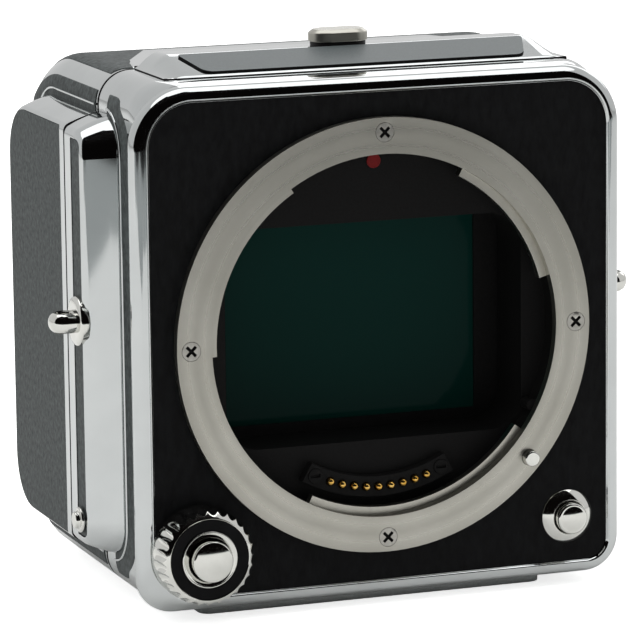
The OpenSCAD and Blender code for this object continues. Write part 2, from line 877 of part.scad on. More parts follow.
module release_bezel() {
    color("silver") translate([control_x, wall_front_y, control_z]) rotate([90, 0, 0]) difference() {
        union() {
            cylinder(d = bezel_d, h = leather_t);
            translate([0, 0, leather_t]) cylinder(d1 = bezel_d, d2 = bezel_d - bezel_slope, h = bezel_h);
        }
        translate([0, 0, -over])
            cylinder(d = release_d + 2 * run_clear, h = leather_t + bezel_h + 2 * over);
    }
}

module release_button() {
    color("silver") rod_y(control_x, control_z, release_d / 2, leather_y - release_proud, yoke_y);
}

module release_yoke() {
    run = [control_x - lock_x, control_z - lock_z];
    color("slategray") along_y(yoke_y, yoke_y + yoke_t) {
        translate([lock_x, lock_z]) circle(r = yoke_r);
        translate([control_x, control_z]) circle(r = yoke_r);
        translate([lock_x, lock_z]) rotate(atan2(run[1], run[0]))
            translate([0, -yoke_bar / 2]) square([norm(run), yoke_bar]);
    }
}

module lock_pin() {
    color("silver") rod_y(lock_x, lock_z, lock_d / 2, ring_y - release_travel, yoke_y);
}

// Control dial and shutter button

module dial_hub() {
    color("silver") difference() {
        rod_y(-control_x, control_z, hub_d / 2, hub_y, wall_back_y);
        rod_y(-control_x, control_z, shutter_d / 2 + run_clear, hub_y - over,
            shutter_skirt_y + shutter_travel + move_clear);
        rod_y(-control_x, control_z, shutter_stem_d / 2 + run_clear, hub_y, wall_back_y + over);
    }
}

module control_dial() {
    color("silver") difference() {
        rod_y(-control_x, control_z, dial_d / 2, dial_y, leather_y - dial_gap);
        rod_y(-control_x, control_z, hub_d / 2 + run_clear, dial_y - over, leather_y + over);
        difference() {
            rod_y(-control_x, control_z, dial_face_d / 2, dial_y - over, dial_y + dial_face_t);
            rod_y(-control_x, control_z, hub_d / 2 + dial_collar, dial_y - over, dial_y + dial_face_t);
        }
        for (i = [0:dial_scallops - 1]) {
            a = 360 / dial_scallops * i;
            rod_y(-control_x + scallop_place * cos(a), control_z + scallop_place * sin(a), scallop_d / 2,
                dial_y - over, leather_y);
        }
    }
}

module dial_face_ring() {
    color("#141414") difference() {
        rod_y(-control_x, control_z, dial_face_d / 2, dial_y, dial_y + dial_face_t);
        rod_y(-control_x, control_z, hub_d / 2 + dial_collar, dial_y - over, dial_y + dial_face_t + over);
    }
}

module shutter_button() {
    color("silver") {
        rod_y(-control_x, control_z, shutter_d / 2, shutter_y, shutter_skirt_y);
        rod_y(-control_x, control_z, shutter_stem_d / 2, shutter_skirt_y, stem_y);
    }
}

// Front body inside

module control_board() {
    low_z = axis_z + window_h / 2 + tunnel_wall + board_room;
    high_z = top_z - wall;
    color("seagreen") translate([-inner_x + board_end, baffle_back_y, low_z])
        cube([2 * inner_x - 2 * board_end, board_t, high_z - low_z]);
}

module rear_frame() {
    color("#2a2a2c") difference() {
        translate([0, 0, mid_z]) along_y(seam_y - rear_frame_t, seam_y)
            round_rect(2 * inner_x, inner_h, inner_corner, inner_corner);
        translate([0, 0, axis_z]) along_y(seam_y - rear_frame_t - over, seam_y + over)
            square([tower_w + 2 * tower_clear, tower_h + 2 * tower_clear], center = true);
    }
}

module back_hooks() {
    color("silver") for (s = [-1, 1])
        translate([s * hook_x - hook_w / 2, seam_y, hook_z]) cube([hook_w, hook_reach, hook_t]);
}

// Top ridge

// Outline of the ridge seen from the side
module ridge_side() {
    polygon([
        [plate_front_y, top_z], [plate_front_y, top_z + plate_front_h], [plate_rear_y, ridge_z],
        [seam_y, ridge_z], [seam_y, top_z]
    ]);
}

// Outline of the ridge seen from the front
module ridge_front() {
    half = ridge_w / 2;
    polygon([
        [-half - ridge_ramp, top_z], [-half, ridge_z + over], [half, ridge_z + over],
        [half + ridge_ramp, top_z]
    ]);
}

// The slanted bed of the name plate
module plate_bed() {
    intersection() {
        along_x(-plate_w / 2, plate_w / 2) polygon([
            [plate_front_y + plate_margin, plate_low_z - plate_t],
            [plate_front_y + plate_margin, plate_low_z],
            [plate_rear_y, ridge_z],
            [plate_rear_y, ridge_z - plate_t]
        ]);
        along_z(top_z - over, ridge_z + over) polygon([
            [-plate_front_w / 2, plate_front_y], [plate_front_w / 2, plate_front_y],
            [plate_w / 2, plate_rear_y + over], [-plate_w / 2, plate_rear_y + over]
        ]);
    }
}

// Outline of the slot that the slide's neck runs in
module neck_slot() {
    slot_w = neck_d + 2 * move_clear;
    translate([slide_travel / 2, slide_y]) stadium(slide_travel + slot_w, slot_w);
}

module top_ridge() {
    color("gainsboro") difference() {
        intersection() {
            along_x(-body_w / 2, body_w / 2) ridge_side();
            along_y(leather_y, seam_y) ridge_front();
        }
        plate_bed();
        along_z(ridge_z - neck_depth - move_clear, ridge_z + over) neck_slot();
    }
}

module name_plate() {
    color("#2b2c2d") plate_bed();
}

module release_slide() {
    color("silver") {
        along_z(ridge_z + run_clear, ridge_z + slide_h - slide_step)
            translate([0, slide_y]) stadium(slide_l, slide_w);
        along_z(ridge_z + slide_h - slide_step, ridge_z + slide_h)
            translate([0, slide_y]) stadium(slide_l - 2 * slide_ledge, slide_w - 2 * slide_ledge);
        translate([0, slide_y, ridge_z - neck_depth]) cylinder(d = neck_d, h = neck_depth + run_clear);
    }
}

// Foot

module foot_plate() {
    color("gray") difference() {
        along_z(0, foot_h) round_rect(foot_w, foot_d, foot_corner, foot_corner);
        translate([0, 0, -over]) cylinder(d = bush_d, h = foot_h + 2 * over);
        foot_screw(screw_clear, over);
    }
}

module foot_screws() {
    color("silver") difference() {
        foot_screw(0);
        for (s = [-1, 1]) translate([s * foot_screw_gap / 2, 0, 0])
            cube([foot_screw_d * 0.7, cross_w, 2 * slot_depth], center = true);
    }
}

module tripod_bush() {
    color("silver") difference() {
        union() {
            cylinder(d = bush_d, h = socket_depth + bush_floor);
            translate([0, 0, foot_h + wall]) cylinder(d = bush_d + 2 * bush_flange, h = bush_flange_t);
        }
        translate([0, 0, -over]) cylinder(r = socket_r, h = socket_depth + over);
    }
}

// Digital back

// Side outline of the back, drawn in from every face by an inset
module back_side(inset) {
    front = back_y;
    top_r = back_round_top - inset;
    low_r = back_round_low - inset;
    low = bottom_z + inset;
    high = top_z - inset;
    rear = rear_y - inset;
    arc_y = rear_y - round_cut;
    translate([front, low + low_r]) square([rear - front, high - low - top_r - low_r]);
    translate([front, low]) square([rear - low_r - front, high - low - top_r]);
    translate([front, low]) square([arc_y - front, high - low]);
    intersection() {
        translate([arc_y, high - top_r]) circle(r = top_r);
        translate([front, low]) square([rear - front, high - low]);
    }
    translate([rear - low_r, low + low_r]) circle(r = low_r);
}

// Leather panel on the left rail of the back
module side_panel_form() {
    margin = back_band + rail_edge;
    along_x(-rail_x, -rail_x + strip_t) translate([back_y + back_rail_depth / 2, mid_z]) rotate(90)
        round_rect(rail_h - 2 * margin, back_rail_depth - 2 * margin, rail_edge, back_rail_corner - margin);
}

// Leather on the flat top and the round rear edge
module top_panel_form() {
    half = side_x - box_corner - top_margin;
    intersection() {
        difference() {
            along_x(-half, half) back_side(0);
            along_x(-half - over, half + over) back_side(strip_t);
        }
        translate([-half, back_y + box_corner + top_margin, top_z - top_leather_drop])
            cube([2 * half, back_depth, top_leather_drop]);
    }
}

// Opening for the card door
module door_room() {
    translate([inner_x - over, door_y, door_low_z])
        cube([rail_x - inner_x + 2 * over, door_d + move_clear, door_h]);
}

module back_shell() {
    color("gainsboro") difference() {
        union() {
            intersection() {
                along_x(-side_x, side_x) back_side(0);
                translate([0, 0, mid_z]) along_y(back_y, rear_y + over)
                    round_rect(2 * side_x, body_h, box_corner, box_corner);
            }
            for (m = [0, 1]) mirror([m, 0, 0])
                rail_form(back_y, back_y + back_rail_depth, rail_edge, back_rail_corner, rail_edge,
                    rail_corner);
        }
        difference() {
            along_x(-inner_x, inner_x) back_side(wall);
            translate([-inner_x - over, rear_y - wall - sill_d, bottom_z]) cube([2 * side_x, sill_d, wall]);
        }
        translate([-inner_x, back_y - over, bottom_z + wall]) cube([2 * inner_x, wall, inner_h]);
        side_panel_form();
        top_panel_form();
        door_room();
        door_pin_form();
        translate([-battery_w / 2 - move_clear, battery_y - move_clear, bottom_z - over])
            cube([battery_w + 2 * move_clear, battery_d + 2 * move_clear, wall + 2 * over]);
        along_z(bottom_z - over, bottom_z + latch_t) translate([latch_travel / 2, latch_y])
            square([latch_l + latch_travel + 2 * move_clear, latch_w + 2 * move_clear], center = true);
    }
}

module back_top_leather() {
    color("dimgray") top_panel_form();
}

module back_side_leather() {
    color("dimgray") side_panel_form();
}

// Sensor

module sensor_frame() {
    color("#141416") difference() {
        union() {
            translate([0, 0, mid_z]) along_y(back_y, back_y + frame_plate_t)
                square([2 * inner_x, inner_h], center = true);
            translate([0, 0, axis_z]) along_y(tower_y, back_y + frame_plate_t)
                round_rect(tower_w, tower_h, tower_corner, tower_corner);
        }
        translate([0, 0, axis_z]) along_y(tower_y - over, sensor_y)
            square([sensor_w, sensor_h], center = true);
        translate([0, 0, axis_z]) along_y(sensor_y - glass_t, back_y + frame_plate_t + over)
            square([glass_w, glass_h], center = true);
        for (s = [-1, 1])
            translate([s * hook_x - hook_w / 2 - hook_room, back_y - over, bottom_z + wall - over])
                cube([hook_w + 2 * hook_room, frame_plate_t + 2 * over,
                    hook_lift + hook_t + hook_room + over]);
    }
}

// A flat piece in the sensor frame's well
module well_piece(y0, y1) {
    translate([0, 0, axis_z]) along_y(y0, y1) square([glass_w, glass_h], center = true);
}

module sensor_glass() {
    color("darkslategray") well_piece(sensor_y - glass_t, sensor_y);
}

module sensor() {
    color("darkgreen") well_piece(sensor_y, sensor_y + sensor_t);
}

module sensor_board() {
    color("seagreen") well_piece(sensor_y + sensor_t, sensor_y + sensor_t + sensor_board_t);
}

module heat_block() {
    color("lightgray") well_piece(sensor_y + sensor_t + sensor_board_t, board_y);
}

module main_board() {
    color("seagreen") translate([-inner_x, board_y, mid_z - board_h / 2])
        cube([2 * inner_x, board_t, board_h]);
}

module card_socket() {
    color("silver") difference() {
        translate([inner_x - card_w, board_y + board_t, mid_z - card_h / 2]) cube([card_w, card_d, card_h]);
        for (d = [0.25, 0.7])
            translate([inner_x - card_w + card_wall, board_y + board_t + card_d * d,
                mid_z - card_h / 2 + card_wall])
                cube([card_w, card_slot, card_h - 2 * card_wall]);
    }
}

// Card door

// Hinge pin of the door, which ends in the shell above and below
module door_pin_form() {
    translate([door_axis_x, door_axis_y, door_low_z - pin_tail])
        cylinder(d = door_pin_d, h = door_h + 2 * pin_tail);
}

module door_pin() {
    color("silver") door_pin_form();
}

// Leather face of the card door
module door_face_form() {
    margin = move_clear + door_edge;
    translate([rail_x - strip_t, door_y + margin, door_low_z + margin])
        cube([strip_t, door_d - door_t - margin, door_h - 2 * margin]);
}

module card_door() {
    high = door_h - 2 * move_clear;
    color("gainsboro") translate([0, 0, door_low_z + move_clear]) difference() {
        union() {
            translate([rail_x - door_t, door_y + move_clear, 0])
                cube([door_t, door_axis_y - door_y - move_clear, high]);
            translate([door_axis_x, door_axis_y, 0]) cylinder(d = door_t, h = high);
        }
        translate([door_axis_x, door_axis_y, -over])
            cylinder(d = door_pin_d + 2 * run_clear, h = high + 2 * over);
        translate([0, 0, -door_low_z - move_clear]) door_face_form();
    }
}

module door_leather() {
    color("dimgray") door_face_form();
}

// Battery

module battery() {
    color("#262628") translate([-battery_w / 2, battery_y, bottom_z])
        cube([battery_w, battery_d, battery_h]);
}

module battery_cap() {
    color("#3a3a3c") along_z(0, foot_h) translate([0, battery_mid_y])
        round_rect(battery_w + 2 * cap_border, battery_d + 2 * cap_border, cap_corner, cap_corner);
}

module battery_latch() {
    color("silver") {
        along_z(bottom_z + run_clear, bottom_z + latch_t - move_clear) translate([0, latch_y])
            square([latch_l, latch_w], center = true);
        along_z(bottom_z - latch_proud, bottom_z + run_clear) translate([0, latch_y])
            square([latch_l / 2, latch_w * 0.7], center = true);
    }
}

// Rear panel and screen

module rear_panel() {
    color("#1c1c1e") difference() {
        translate([0, 0, panel_rear_z + panel_rear_h / 2]) along_y(rear_y - back_round_top * 0.6, panel_y)
            round_rect(panel_rear_w, panel_rear_h, panel_rear_corner, panel_rear_corner);
        along_x(-side_x, side_x) back_side(0);
        for (i = [1:button_count])
            rod_y(button_x(i), button_z, button_d / 2 + run_clear, panel_y - button_base, panel_y + over);
        at_panel_screws() rod_y(0, 0, panel_screw_r + screw_clear, panel_y - panel_screw_l, panel_y + over);
    }
}

// Place of a rear button along the panel
function button_x(i) = (i - (button_count + 1) / 2) * button_gap;

// Place of each screw of the rear panel
module at_panel_screws() {
    for (s = [-1, 1])
        for (z = [panel_rear_z + panel_screw_low, panel_rear_z + panel_rear_h - panel_screw_high])
            translate([s * (panel_rear_w / 2 - panel_screw_side), 0, z]) children();
}

module panel_screws() {
    color("silver") at_panel_screws() difference() {
        rod_y(0, 0, panel_screw_r, panel_y - panel_screw_l, panel_y);
        translate([0, panel_y, 0]) cube([panel_screw_r * 1.4, slot_depth, panel_screw_r / 3], center = true);
    }
}

module screen_ears() {
    ear_x = screen_w / 2 + move_clear;
    color("silver") for (m = [0, 1]) mirror([m, 0, 0]) {
        translate([ear_x, panel_y, screen_axis_z - hinge_pin_d])
            cube([hinge_ear_t, screen_axis_y - panel_y, 2 * hinge_pin_d]);
        rod_x(screen_axis_y, screen_axis_z, hinge_pin_d, ear_x, ear_x + hinge_ear_t);
        rod_x(screen_axis_y, screen_axis_z, hinge_pin_d / 2, ear_x - hinge_pin_l, ear_x);
    }
}

// Glass of the screen, set in its outer face
module screen_glass_form() {
    translate([0, 0, screen_low_z + screen_h / 2]) along_y(screen_face_y - screen_glass_t, screen_face_y)
        round_rect(screen_w - 2 * screen_border, screen_h - 2 * screen_border, glass_corner, glass_corner);
}

module screen_housing() {
    color("#1a1a1b") difference() {
        intersection() {
            translate([0, 0, screen_low_z + screen_h / 2]) along_y(screen_y, screen_face_y)
                round_rect(screen_w, screen_h, screen_edge, screen_corner);
            along_x(-screen_w / 2, screen_w / 2) {
                translate([screen_y, screen_low_z]) square([screen_t, screen_h - screen_t / 2]);
                translate([screen_axis_y, screen_axis_z]) circle(d = screen_t);
            }
        }
        screen_glass_form();
        for (s = [-1, 1])
            rod_x(screen_axis_y, screen_axis_z, hinge_pin_d / 2 + run_clear,
                s * screen_w / 2 - hinge_hole_l, s * screen_w / 2 + hinge_hole_l);
    }
}

module screen_glass() {
    color("#08090a") screen_glass_form();
}

module rear_button(i) {
    color("#2c2c2e") rod_y(button_x(i), button_z, button_d / 2,
        panel_y - button_base + button_travel + button_play, panel_y + button_proud);
}

front_frame();
front_leather();
side_strip_leather();
side_rail_left();
side_rail_right();
rail_strip_leather();
strap_lug_left();
strap_lug_right();
grip_stud();
lens_mount_ring();
mount_screws();
baffle_plate();
contact_block();
block_screws();
index_dot();
release_bezel();
dial_hub();
control_board();
top_ridge();
name_plate();
foot_plate();
foot_screws();
tripod_bush();
rear_frame();
back_hooks();
control_dial();
dial_face_ring();
shutter_button();
release_button();
release_yoke();
lock_pin();
contact_pins();
release_slide();
back_shell();
back_top_leather();
back_side_leather();
sensor_frame();
sensor_glass();
sensor();
sensor_board();
heat_block();
main_board();
card_socket();
door_pin();
card_door();
door_leather();
battery();
battery_cap();
battery_latch();
rear_panel();
panel_screws();
screen_ears();
screen_housing();
screen_glass();
rear_button(1);  // rear_button_1
rear_button(2);  // rear_button_2
rear_button(3);  // rear_button_3
rear_button(4);  // rear_button_4
rear_button(5);  // rear_button_5
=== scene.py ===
# A medium format digital camera without its lens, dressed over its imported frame.
# Sizes are in millimetres in the part's own frame: X to the right seen from the front,
# Y from the front to the back, Z up, with the origin at the mouth of the tripod socket.
import math

import bpy
from mathutils import Matrix, Vector


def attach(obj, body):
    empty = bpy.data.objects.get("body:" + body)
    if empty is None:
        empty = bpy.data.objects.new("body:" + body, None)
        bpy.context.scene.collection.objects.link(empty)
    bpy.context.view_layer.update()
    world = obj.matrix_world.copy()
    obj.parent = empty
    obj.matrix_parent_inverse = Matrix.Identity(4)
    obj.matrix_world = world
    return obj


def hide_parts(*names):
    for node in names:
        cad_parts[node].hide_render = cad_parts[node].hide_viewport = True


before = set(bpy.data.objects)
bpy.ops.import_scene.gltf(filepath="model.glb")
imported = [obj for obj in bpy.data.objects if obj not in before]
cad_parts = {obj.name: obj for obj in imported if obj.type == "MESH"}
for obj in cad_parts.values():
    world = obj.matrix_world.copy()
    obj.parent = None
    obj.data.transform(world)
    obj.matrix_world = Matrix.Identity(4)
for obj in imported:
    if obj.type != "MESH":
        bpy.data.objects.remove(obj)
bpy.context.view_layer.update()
bpy.ops.object.select_all(action="DESELECT")


# FRONT FRAME
# The visible metal of the front body: one aluminium casting, milled, polished and chrome plated.
# A bullnose runs around its front plate, with a thin bead inside it that holds the front leather.
# The plate overhangs the box behind it, and its round corners run out into the box.

MM = 0.001


def linear(colour):
    """A colour written as an sRGB hex value, in linear light."""
    parts = [int(colour[i:i + 2], 16) / 255 for i in (1, 3, 5)]
    return [c / 12.92 if c <= 0.04045 else ((c + 0.055) / 1.055) ** 2.4 for c in parts] + [1.0]


def add_node(material, kind, settings=None, pair=(), **inputs):
    """Adds one node: its settings, a pair of links for its first two sockets, and a value or a link for
    each socket that is named. A node given as a link stands for its first output."""
    node = material.node_tree.nodes.new("ShaderNode" + kind)
    for name, value in (settings or {}).items():
        if name == "stops":
            for stop, (place, colour) in zip(node.color_ramp.elements, value):
                stop.position, stop.color = place, linear(colour)
        else:
            setattr(node, name, value)
    named = [(node.inputs[name.replace("_", " ")], value) for name, value in inputs.items()]
    for socket, value in [*zip(node.inputs, pair), *named]:
        if isinstance(value, bpy.types.Node):
            value = value.outputs[0]
        if isinstance(value, bpy.types.NodeSocket):
            material.node_tree.links.new(value, socket)
        else:
            socket.default_value = value
    return node


def blank_material(name):
    """A material with an empty node tree."""
    material = bpy.data.materials.new(name)
    material.use_nodes = True
    material.node_tree.nodes.clear()
    return material


def placed_material(name):
    """A blank material, and the place on the object that its patterns are laid by."""
    material = blank_material(name)
    return material, add_node(material, "TexCoord").outputs["Object"]


def surface(material, stops, source, **inputs):
    """Ends a material: a shader with two tones along a source, and with what else is given."""
    tone = add_node(material, "ValToRGB", {"stops": stops}, Fac=source)
    shader = add_node(material, "BsdfPrincipled", Base_Color=tone, **inputs)
    add_node(material, "OutputMaterial", Surface=shader)


def mottled(name, size, detail, stops, relief=None, grain=None, haze=None, rough=0.5, **inputs):
    """A material with two tones that wander in a noise of this size in millimetres. An uneven haze comes
    from the same noise, and a relief from it too or from a grain of its own size and detail."""
    material, place = placed_material(name)
    noise = fine = add_node(material, "TexNoise", Vector=place, Scale=1 / (size * MM), Detail=detail,
                            Roughness=rough)
    if grain:
        fine = add_node(material, "TexNoise", Vector=place, Scale=1 / (grain[0] * MM), Detail=grain[1])
    if relief:
        inputs["Normal"] = add_node(material, "Bump", Strength=relief[0], Distance=relief[1] * MM, Height=fine)
    if haze:
        inputs["Roughness"] = add_node(material, "MapRange", Value=noise, To_Min=haze[0], To_Max=haze[1])
    surface(material, stops, noise, **inputs)
    return material


def select(piece):
    """Makes one piece the only selected and the active one."""
    bpy.ops.object.select_all(action="DESELECT")
    piece.select_set(True)
    bpy.context.view_layer.objects.active = piece


def rounded(corners, steps=8):
    """The points of a flat outline whose corners, each given with its radius, are rounded off."""
    points = []
    for i, (a, b, radius) in enumerate(corners):
        here = Vector((a, b))
        back = (Vector(corners[i - 1][:2]) - here).normalized()
        on = (Vector(corners[(i + 1) % len(corners)][:2]) - here).normalized()
        half = back.angle(on) / 2
        centre = here + (back + on).normalized() * radius / math.sin(half)
        first = here + back * radius / math.tan(half) - centre
        last = here + on * radius / math.tan(half) - centre
        start = math.atan2(first.y, first.x)
        sweep = (math.atan2(last.y, last.x) - start + math.pi) % (2 * math.pi) - math.pi
        for k in range(steps + 1):
            angle = start + sweep * k / steps
            points.append((centre.x + radius * math.cos(angle), centre.y + radius * math.sin(angle)))
    return points


def shaped_grid(name, columns, rows, shape, fill=False):
    """A grid of quads whose points are laid where shape(column, row) says; fill closes its open ends."""
    bpy.ops.mesh.primitive_grid_add(x_subdivisions=columns - 1, y_subdivisions=rows - 1, size=1)
    piece = bpy.context.object
    piece.name = piece.data.name = name
    for point in piece.data.vertices:
        column = round((point.co.x + 0.5) * (columns - 1))
        row = round((point.co.y + 0.5) * (rows - 1))
        point.co = Vector(shape(column, row)) * MM
    bpy.ops.object.mode_set(mode="EDIT")
    bpy.ops.mesh.select_all(action="SELECT")
    bpy.ops.mesh.remove_doubles(threshold=1e-7)
    if fill:
        bpy.ops.mesh.fill_holes(sides=0)
    bpy.ops.mesh.normals_make_consistent(inside=False)
    bpy.ops.object.mode_set(mode="OBJECT")
    return piece


def fit(piece, body, slot, finish, *nodes, angle=32):
    """Gives a finished piece its surface, and sets it on its body in place of the CAD nodes."""
    select(piece)
    bpy.ops.object.shade_smooth_by_angle(angle=math.radians(angle))
    flats = piece.modifiers.new("flats", "WEIGHTED_NORMAL")
    flats.keep_sharp = True
    bpy.ops.object.modifier_apply(modifier=flats.name)
    piece.data.materials.clear()
    piece.data.materials.append(finish)
    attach(piece, body)
    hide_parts(*nodes)
    return piece


# Chrome plate on polished metal: a clear neutral mirror, with faint hand marks 15 mm across and a
# hair of unevenness in the polish.
chrome = mottled("polished_chrome_plate", 15, 4, ((0.3, "#bfc2c2"), (0.7, "#c9cccc")), relief=(0.002, 0.2),
                 grain=(6, 1), haze=(0.03, 0.08), rough=0.6, Metallic=1.0)

half_w, half_h, mid_z = 42.1, 42.85, 44.65
low_z, top_z = mid_z - half_h, mid_z + half_h
seam_y, plate_back, overhang = 10.3, -10.6, 2.0
side_x = half_w - overhang
edge_r, plate_top_r, plate_low_r, inner_r = 5.5, 10, 6, 3
wall = 2.4
seat_y, bead_y, nose_y = -12.0, -13.5, -11.45
rim, bead = 2.7, 0.5
nose = rim - bead - 0.05
lean_by, lean_from, lean_run = 0.28, -7.5, 3.9
corner_steps = 32


def lean(y):
    """How far the top and the bottom of the frame fall away towards the front."""
    return lean_by * max(0.0, (lean_from - y) / lean_run) ** 1.6


def rim_row(y, inset):
    """A row of the rim; its corner behind the dial widens inwards, so that metal shows around the dial."""
    rise_in = max(inset, lean_by + inset * (1 - lean_by / nose))
    return y, inset, rise_in, plate_top_r - inset, plate_low_r - inset, plate_low_r + inset * 1.1


# The rows go from the seat of the leather over the bead and the bullnose, back along the outside to
# the seam, and forward again inside the wall.
rows = [rim_row(seat_y, rim), rim_row(bead_y, rim)]
for k in range(9):
    crest = 0.03 + 0.04 * k + 0.03 * math.sin(math.pi * k / 8)
    rows.append(rim_row(bead_y - crest, rim - 0.05 - 0.036 * k))
for y, share in ((-13.88, 0.78), (-13.86, 0.88), (-13.8, 0.96), (-13.7, 1.0), (-13.6, 1.06)):
    rows.append(rim_row(y, rim - bead * share))
for k in range(25):
    turn = math.pi / 2 * k / 24
    rows.append(rim_row(nose_y - nose * math.cos(turn), nose * (1 - math.sin(turn))))
for y, side_in, top_r in ((-11.1, 0, plate_top_r), (-10.9, 0.03, 9.9), (-10.7, 0.12, 9.8),
                          (plate_back, 0.35, 9.6)):
    rows.append((y, side_in, lean(y), top_r, plate_low_r, plate_low_r))
for y, top_r, low_r in ((plate_back, 7.6, 5.6), (-9.6, 7.0, 5.6), (-8.6, 6.5, 5.5), (-7.5, 6.1, 5.5),
                        (-6.2, 5.7, 5.5), (-4.9, edge_r, edge_r)):
    rows.append((y, overhang, lean(y), top_r, low_r, low_r))
for y, inset, radius in ((seam_y - 0.3, 0, edge_r), (seam_y - 0.1, 0.08, edge_r), (seam_y, 0.3, edge_r),
                         (seam_y, wall, inner_r)):
    rows.append((y, overhang + inset, inset, radius, radius, radius))
rows += [(-9.6, overhang + wall, wall + 0.2, inner_r, inner_r, inner_r), rows[0]]


def frame_point(column, row):
    y, side_in, rise_in, top_r, low_r, dial_r = rows[row]
    w, h = half_w - side_in, half_h - rise_in
    ring = rounded([(-w, -h, dial_r), (w, -h, low_r), (w, h, top_r), (-w, h, top_r)], corner_steps)
    x, z = ring[column % len(ring)]
    return x, y, mid_z + z


front_frame = shaped_grid("chrome_front_frame", 4 * (corner_steps + 1) + 1, len(rows), frame_point)
fit(front_frame, "camera_body", "chrome", chrome, "front_frame", angle=50)


# FRONT LEATHER
# The flat front covering: thin black grained leather, die cut around the lens mount, the dial
# and the lens release, and glued on the front wall inside the bead.

def ease(piece, width, segments):
    """Rounds off the edges of a piece that turn by more than 35 degrees."""
    select(piece)
    edge = piece.modifiers.new("edge", "BEVEL")
    edge.width, edge.segments = width * MM, segments
    edge.limit_method, edge.angle_limit = "ANGLE", math.radians(35)
    bpy.ops.object.modifier_apply(modifier=edge.name)


def dress(name, node, width, segments, body, slot, finish):
    """Shows a CAD node as a copy with its points merged, its flats joined and its edges rounded off."""
    piece = bpy.data.objects.new(name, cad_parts[node].data.copy())
    bpy.context.scene.collection.objects.link(piece)
    select(piece)
    bpy.ops.object.mode_set(mode="EDIT")
    bpy.ops.mesh.select_all(action="SELECT")
    bpy.ops.mesh.customdata_custom_splitnormals_clear()
    bpy.ops.mesh.remove_doubles(threshold=2e-6)
    bpy.ops.mesh.dissolve_limited(angle_limit=math.radians(0.5))
    bpy.ops.object.mode_set(mode="OBJECT")
    ease(piece, width, segments)
    return fit(piece, body, slot, finish, node)


# Black calf leather with a fine straight grain: nearly black and dull. The real pebbles are about
# 0.3 mm, and are drawn at 0.5 mm so that they show.
black_leather, place = placed_material("fine_black_leather")
drawn = add_node(black_leather, "Mapping", Vector=place, Scale=(1.0, 1.0, 0.45))
pebble = add_node(black_leather, "TexVoronoi", {"feature": "SMOOTH_F1"}, Vector=drawn, Scale=1 / 0.0005)
grain = add_node(black_leather, "TexNoise", Vector=drawn, Scale=1 / 0.0012, Detail=5.0, Roughness=0.7)
raised = add_node(black_leather, "Math", {"operation": "ADD"}, (pebble, grain))
relief = add_node(black_leather, "Bump", Strength=0.35, Distance=0.00012, Height=raised)
surface(black_leather, ((0.35, "#070708"), (0.75, "#121314")), grain, Roughness=0.62, Specular_IOR_Level=0.1,
        Normal=relief)

dress("front_leather_panel", "front_leather", 0.12, 2, "camera_body", "front_leather", black_leather)


# SIDE LEATHER
# A pebbled leather panel on each side of the front body, between the overhanging front plate and the
# chrome along the seam. The side rail is screwed on over it, and a thin chrome bead set in the
# leather follows the rail.

def stretched(name, rows, outline, upright=False):
    """A closed block: outline(inset) is carried along X, or up along Z, through rows of (place, inset)."""
    def spot(column, row):
        at, inset = rows[row]
        ring = outline(inset)
        a, b = ring[column % len(ring)]
        return (a, b, at) if upright else (at, a, b)
    return shaped_grid(name, len(outline(rows[0][1])) + 1, len(rows), spot, fill=True)


def oblong(near, far, low, high, near_r, far_r, steps):
    """An outline with four square sides, whose two near corners and two far corners are rounded."""
    return rounded([(near, low, near_r), (far, low, far_r), (far, high, far_r), (near, high, near_r)], steps)


def shoulder(inset):
    """How far out the side of the box stands at this distance in from its rounded edge."""
    reach = max(0.0, edge_r - inset)
    return side_x - edge_r + math.sqrt(edge_r ** 2 - reach ** 2)


def leather_rows(sign):
    """Rows of a leather skin on the side of the box, which bends over its rounded edge."""
    first = shoulder(skin_start)
    rows = [(sign * (first - 0.4), skin_start), (sign * (first + skin_lift - 0.1), skin_start)]
    for k in range(7):
        inset = skin_start + 0.1 + (edge_r - skin_start) * k / 6
        rows.append((sign * (shoulder(inset) + skin_lift), inset))
    return rows


def wire(name, path, thick, around=10):
    """A round wire along a path of points at one X."""
    out = Vector((1, 0, 0))

    def spot(column, row):
        along = (Vector(path[min(row + 1, len(path) - 1)]) - Vector(path[max(row - 1, 0)])).normalized()
        across = along.cross(out).normalized()
        turn = 2 * math.pi * column / around
        return Vector(path[row]) + (across * math.cos(turn) + out * math.sin(turn)) * thick / 2
    return shaped_grid(name, around + 1, len(path), spot, fill=True)


def rail_bead(name, body, sign, begin, far, radius):
    """The bead around one end of a rail: a wire from the seam, round two corners, and back to the seam."""
    away = 1 if far > begin else -1
    first, last = (bead_low, bead_high)[::away]
    past, limit = begin - 0.2 * away, begin - 0.1 * away
    bend = rounded([(past, last, 0.05), (past, first, 0.05), (far, first, radius), (far, last, radius)], 14)
    bend = [(y, z) for y, z in bend if (y - limit) * away > 0]
    path = [(sign * bead_x, y, z) for y, z in [(begin, first), *bend, (begin, last)]]
    fit(wire(name, path, bead_thick), body, "chrome", chrome)


# Pebbled black leather: fine uneven pebbles, darker between. Its colour runs from near black up to a mid grey,
# partly its own dark tone and partly a painted sheen of light grazing it. The real pebbles are about 0.4 mm,
# and are drawn at 0.6 mm so that they show.
leather_with_painted_sheen, place = placed_material("pebbled_side_leather")
grain = add_node(leather_with_painted_sheen, "TexNoise", Vector=place, Scale=1 / 0.0009, Detail=4.0, Roughness=0.65)
pebble = add_node(leather_with_painted_sheen, "TexVoronoi", {"feature": "SMOOTH_F1"}, Vector=place, Scale=1 / 0.0006)
relief = add_node(leather_with_painted_sheen, "Bump", {"invert": True}, Strength=0.45, Distance=0.00012, Height=pebble)
fine = add_node(leather_with_painted_sheen, "Bump", Strength=0.3, Distance=0.0001, Height=grain, Normal=relief)
surface(leather_with_painted_sheen, ((0.34, "#262a2a"), (0.68, "#4b5151")), grain, Roughness=0.62, Specular_IOR_Level=0.3,
        Normal=fine)

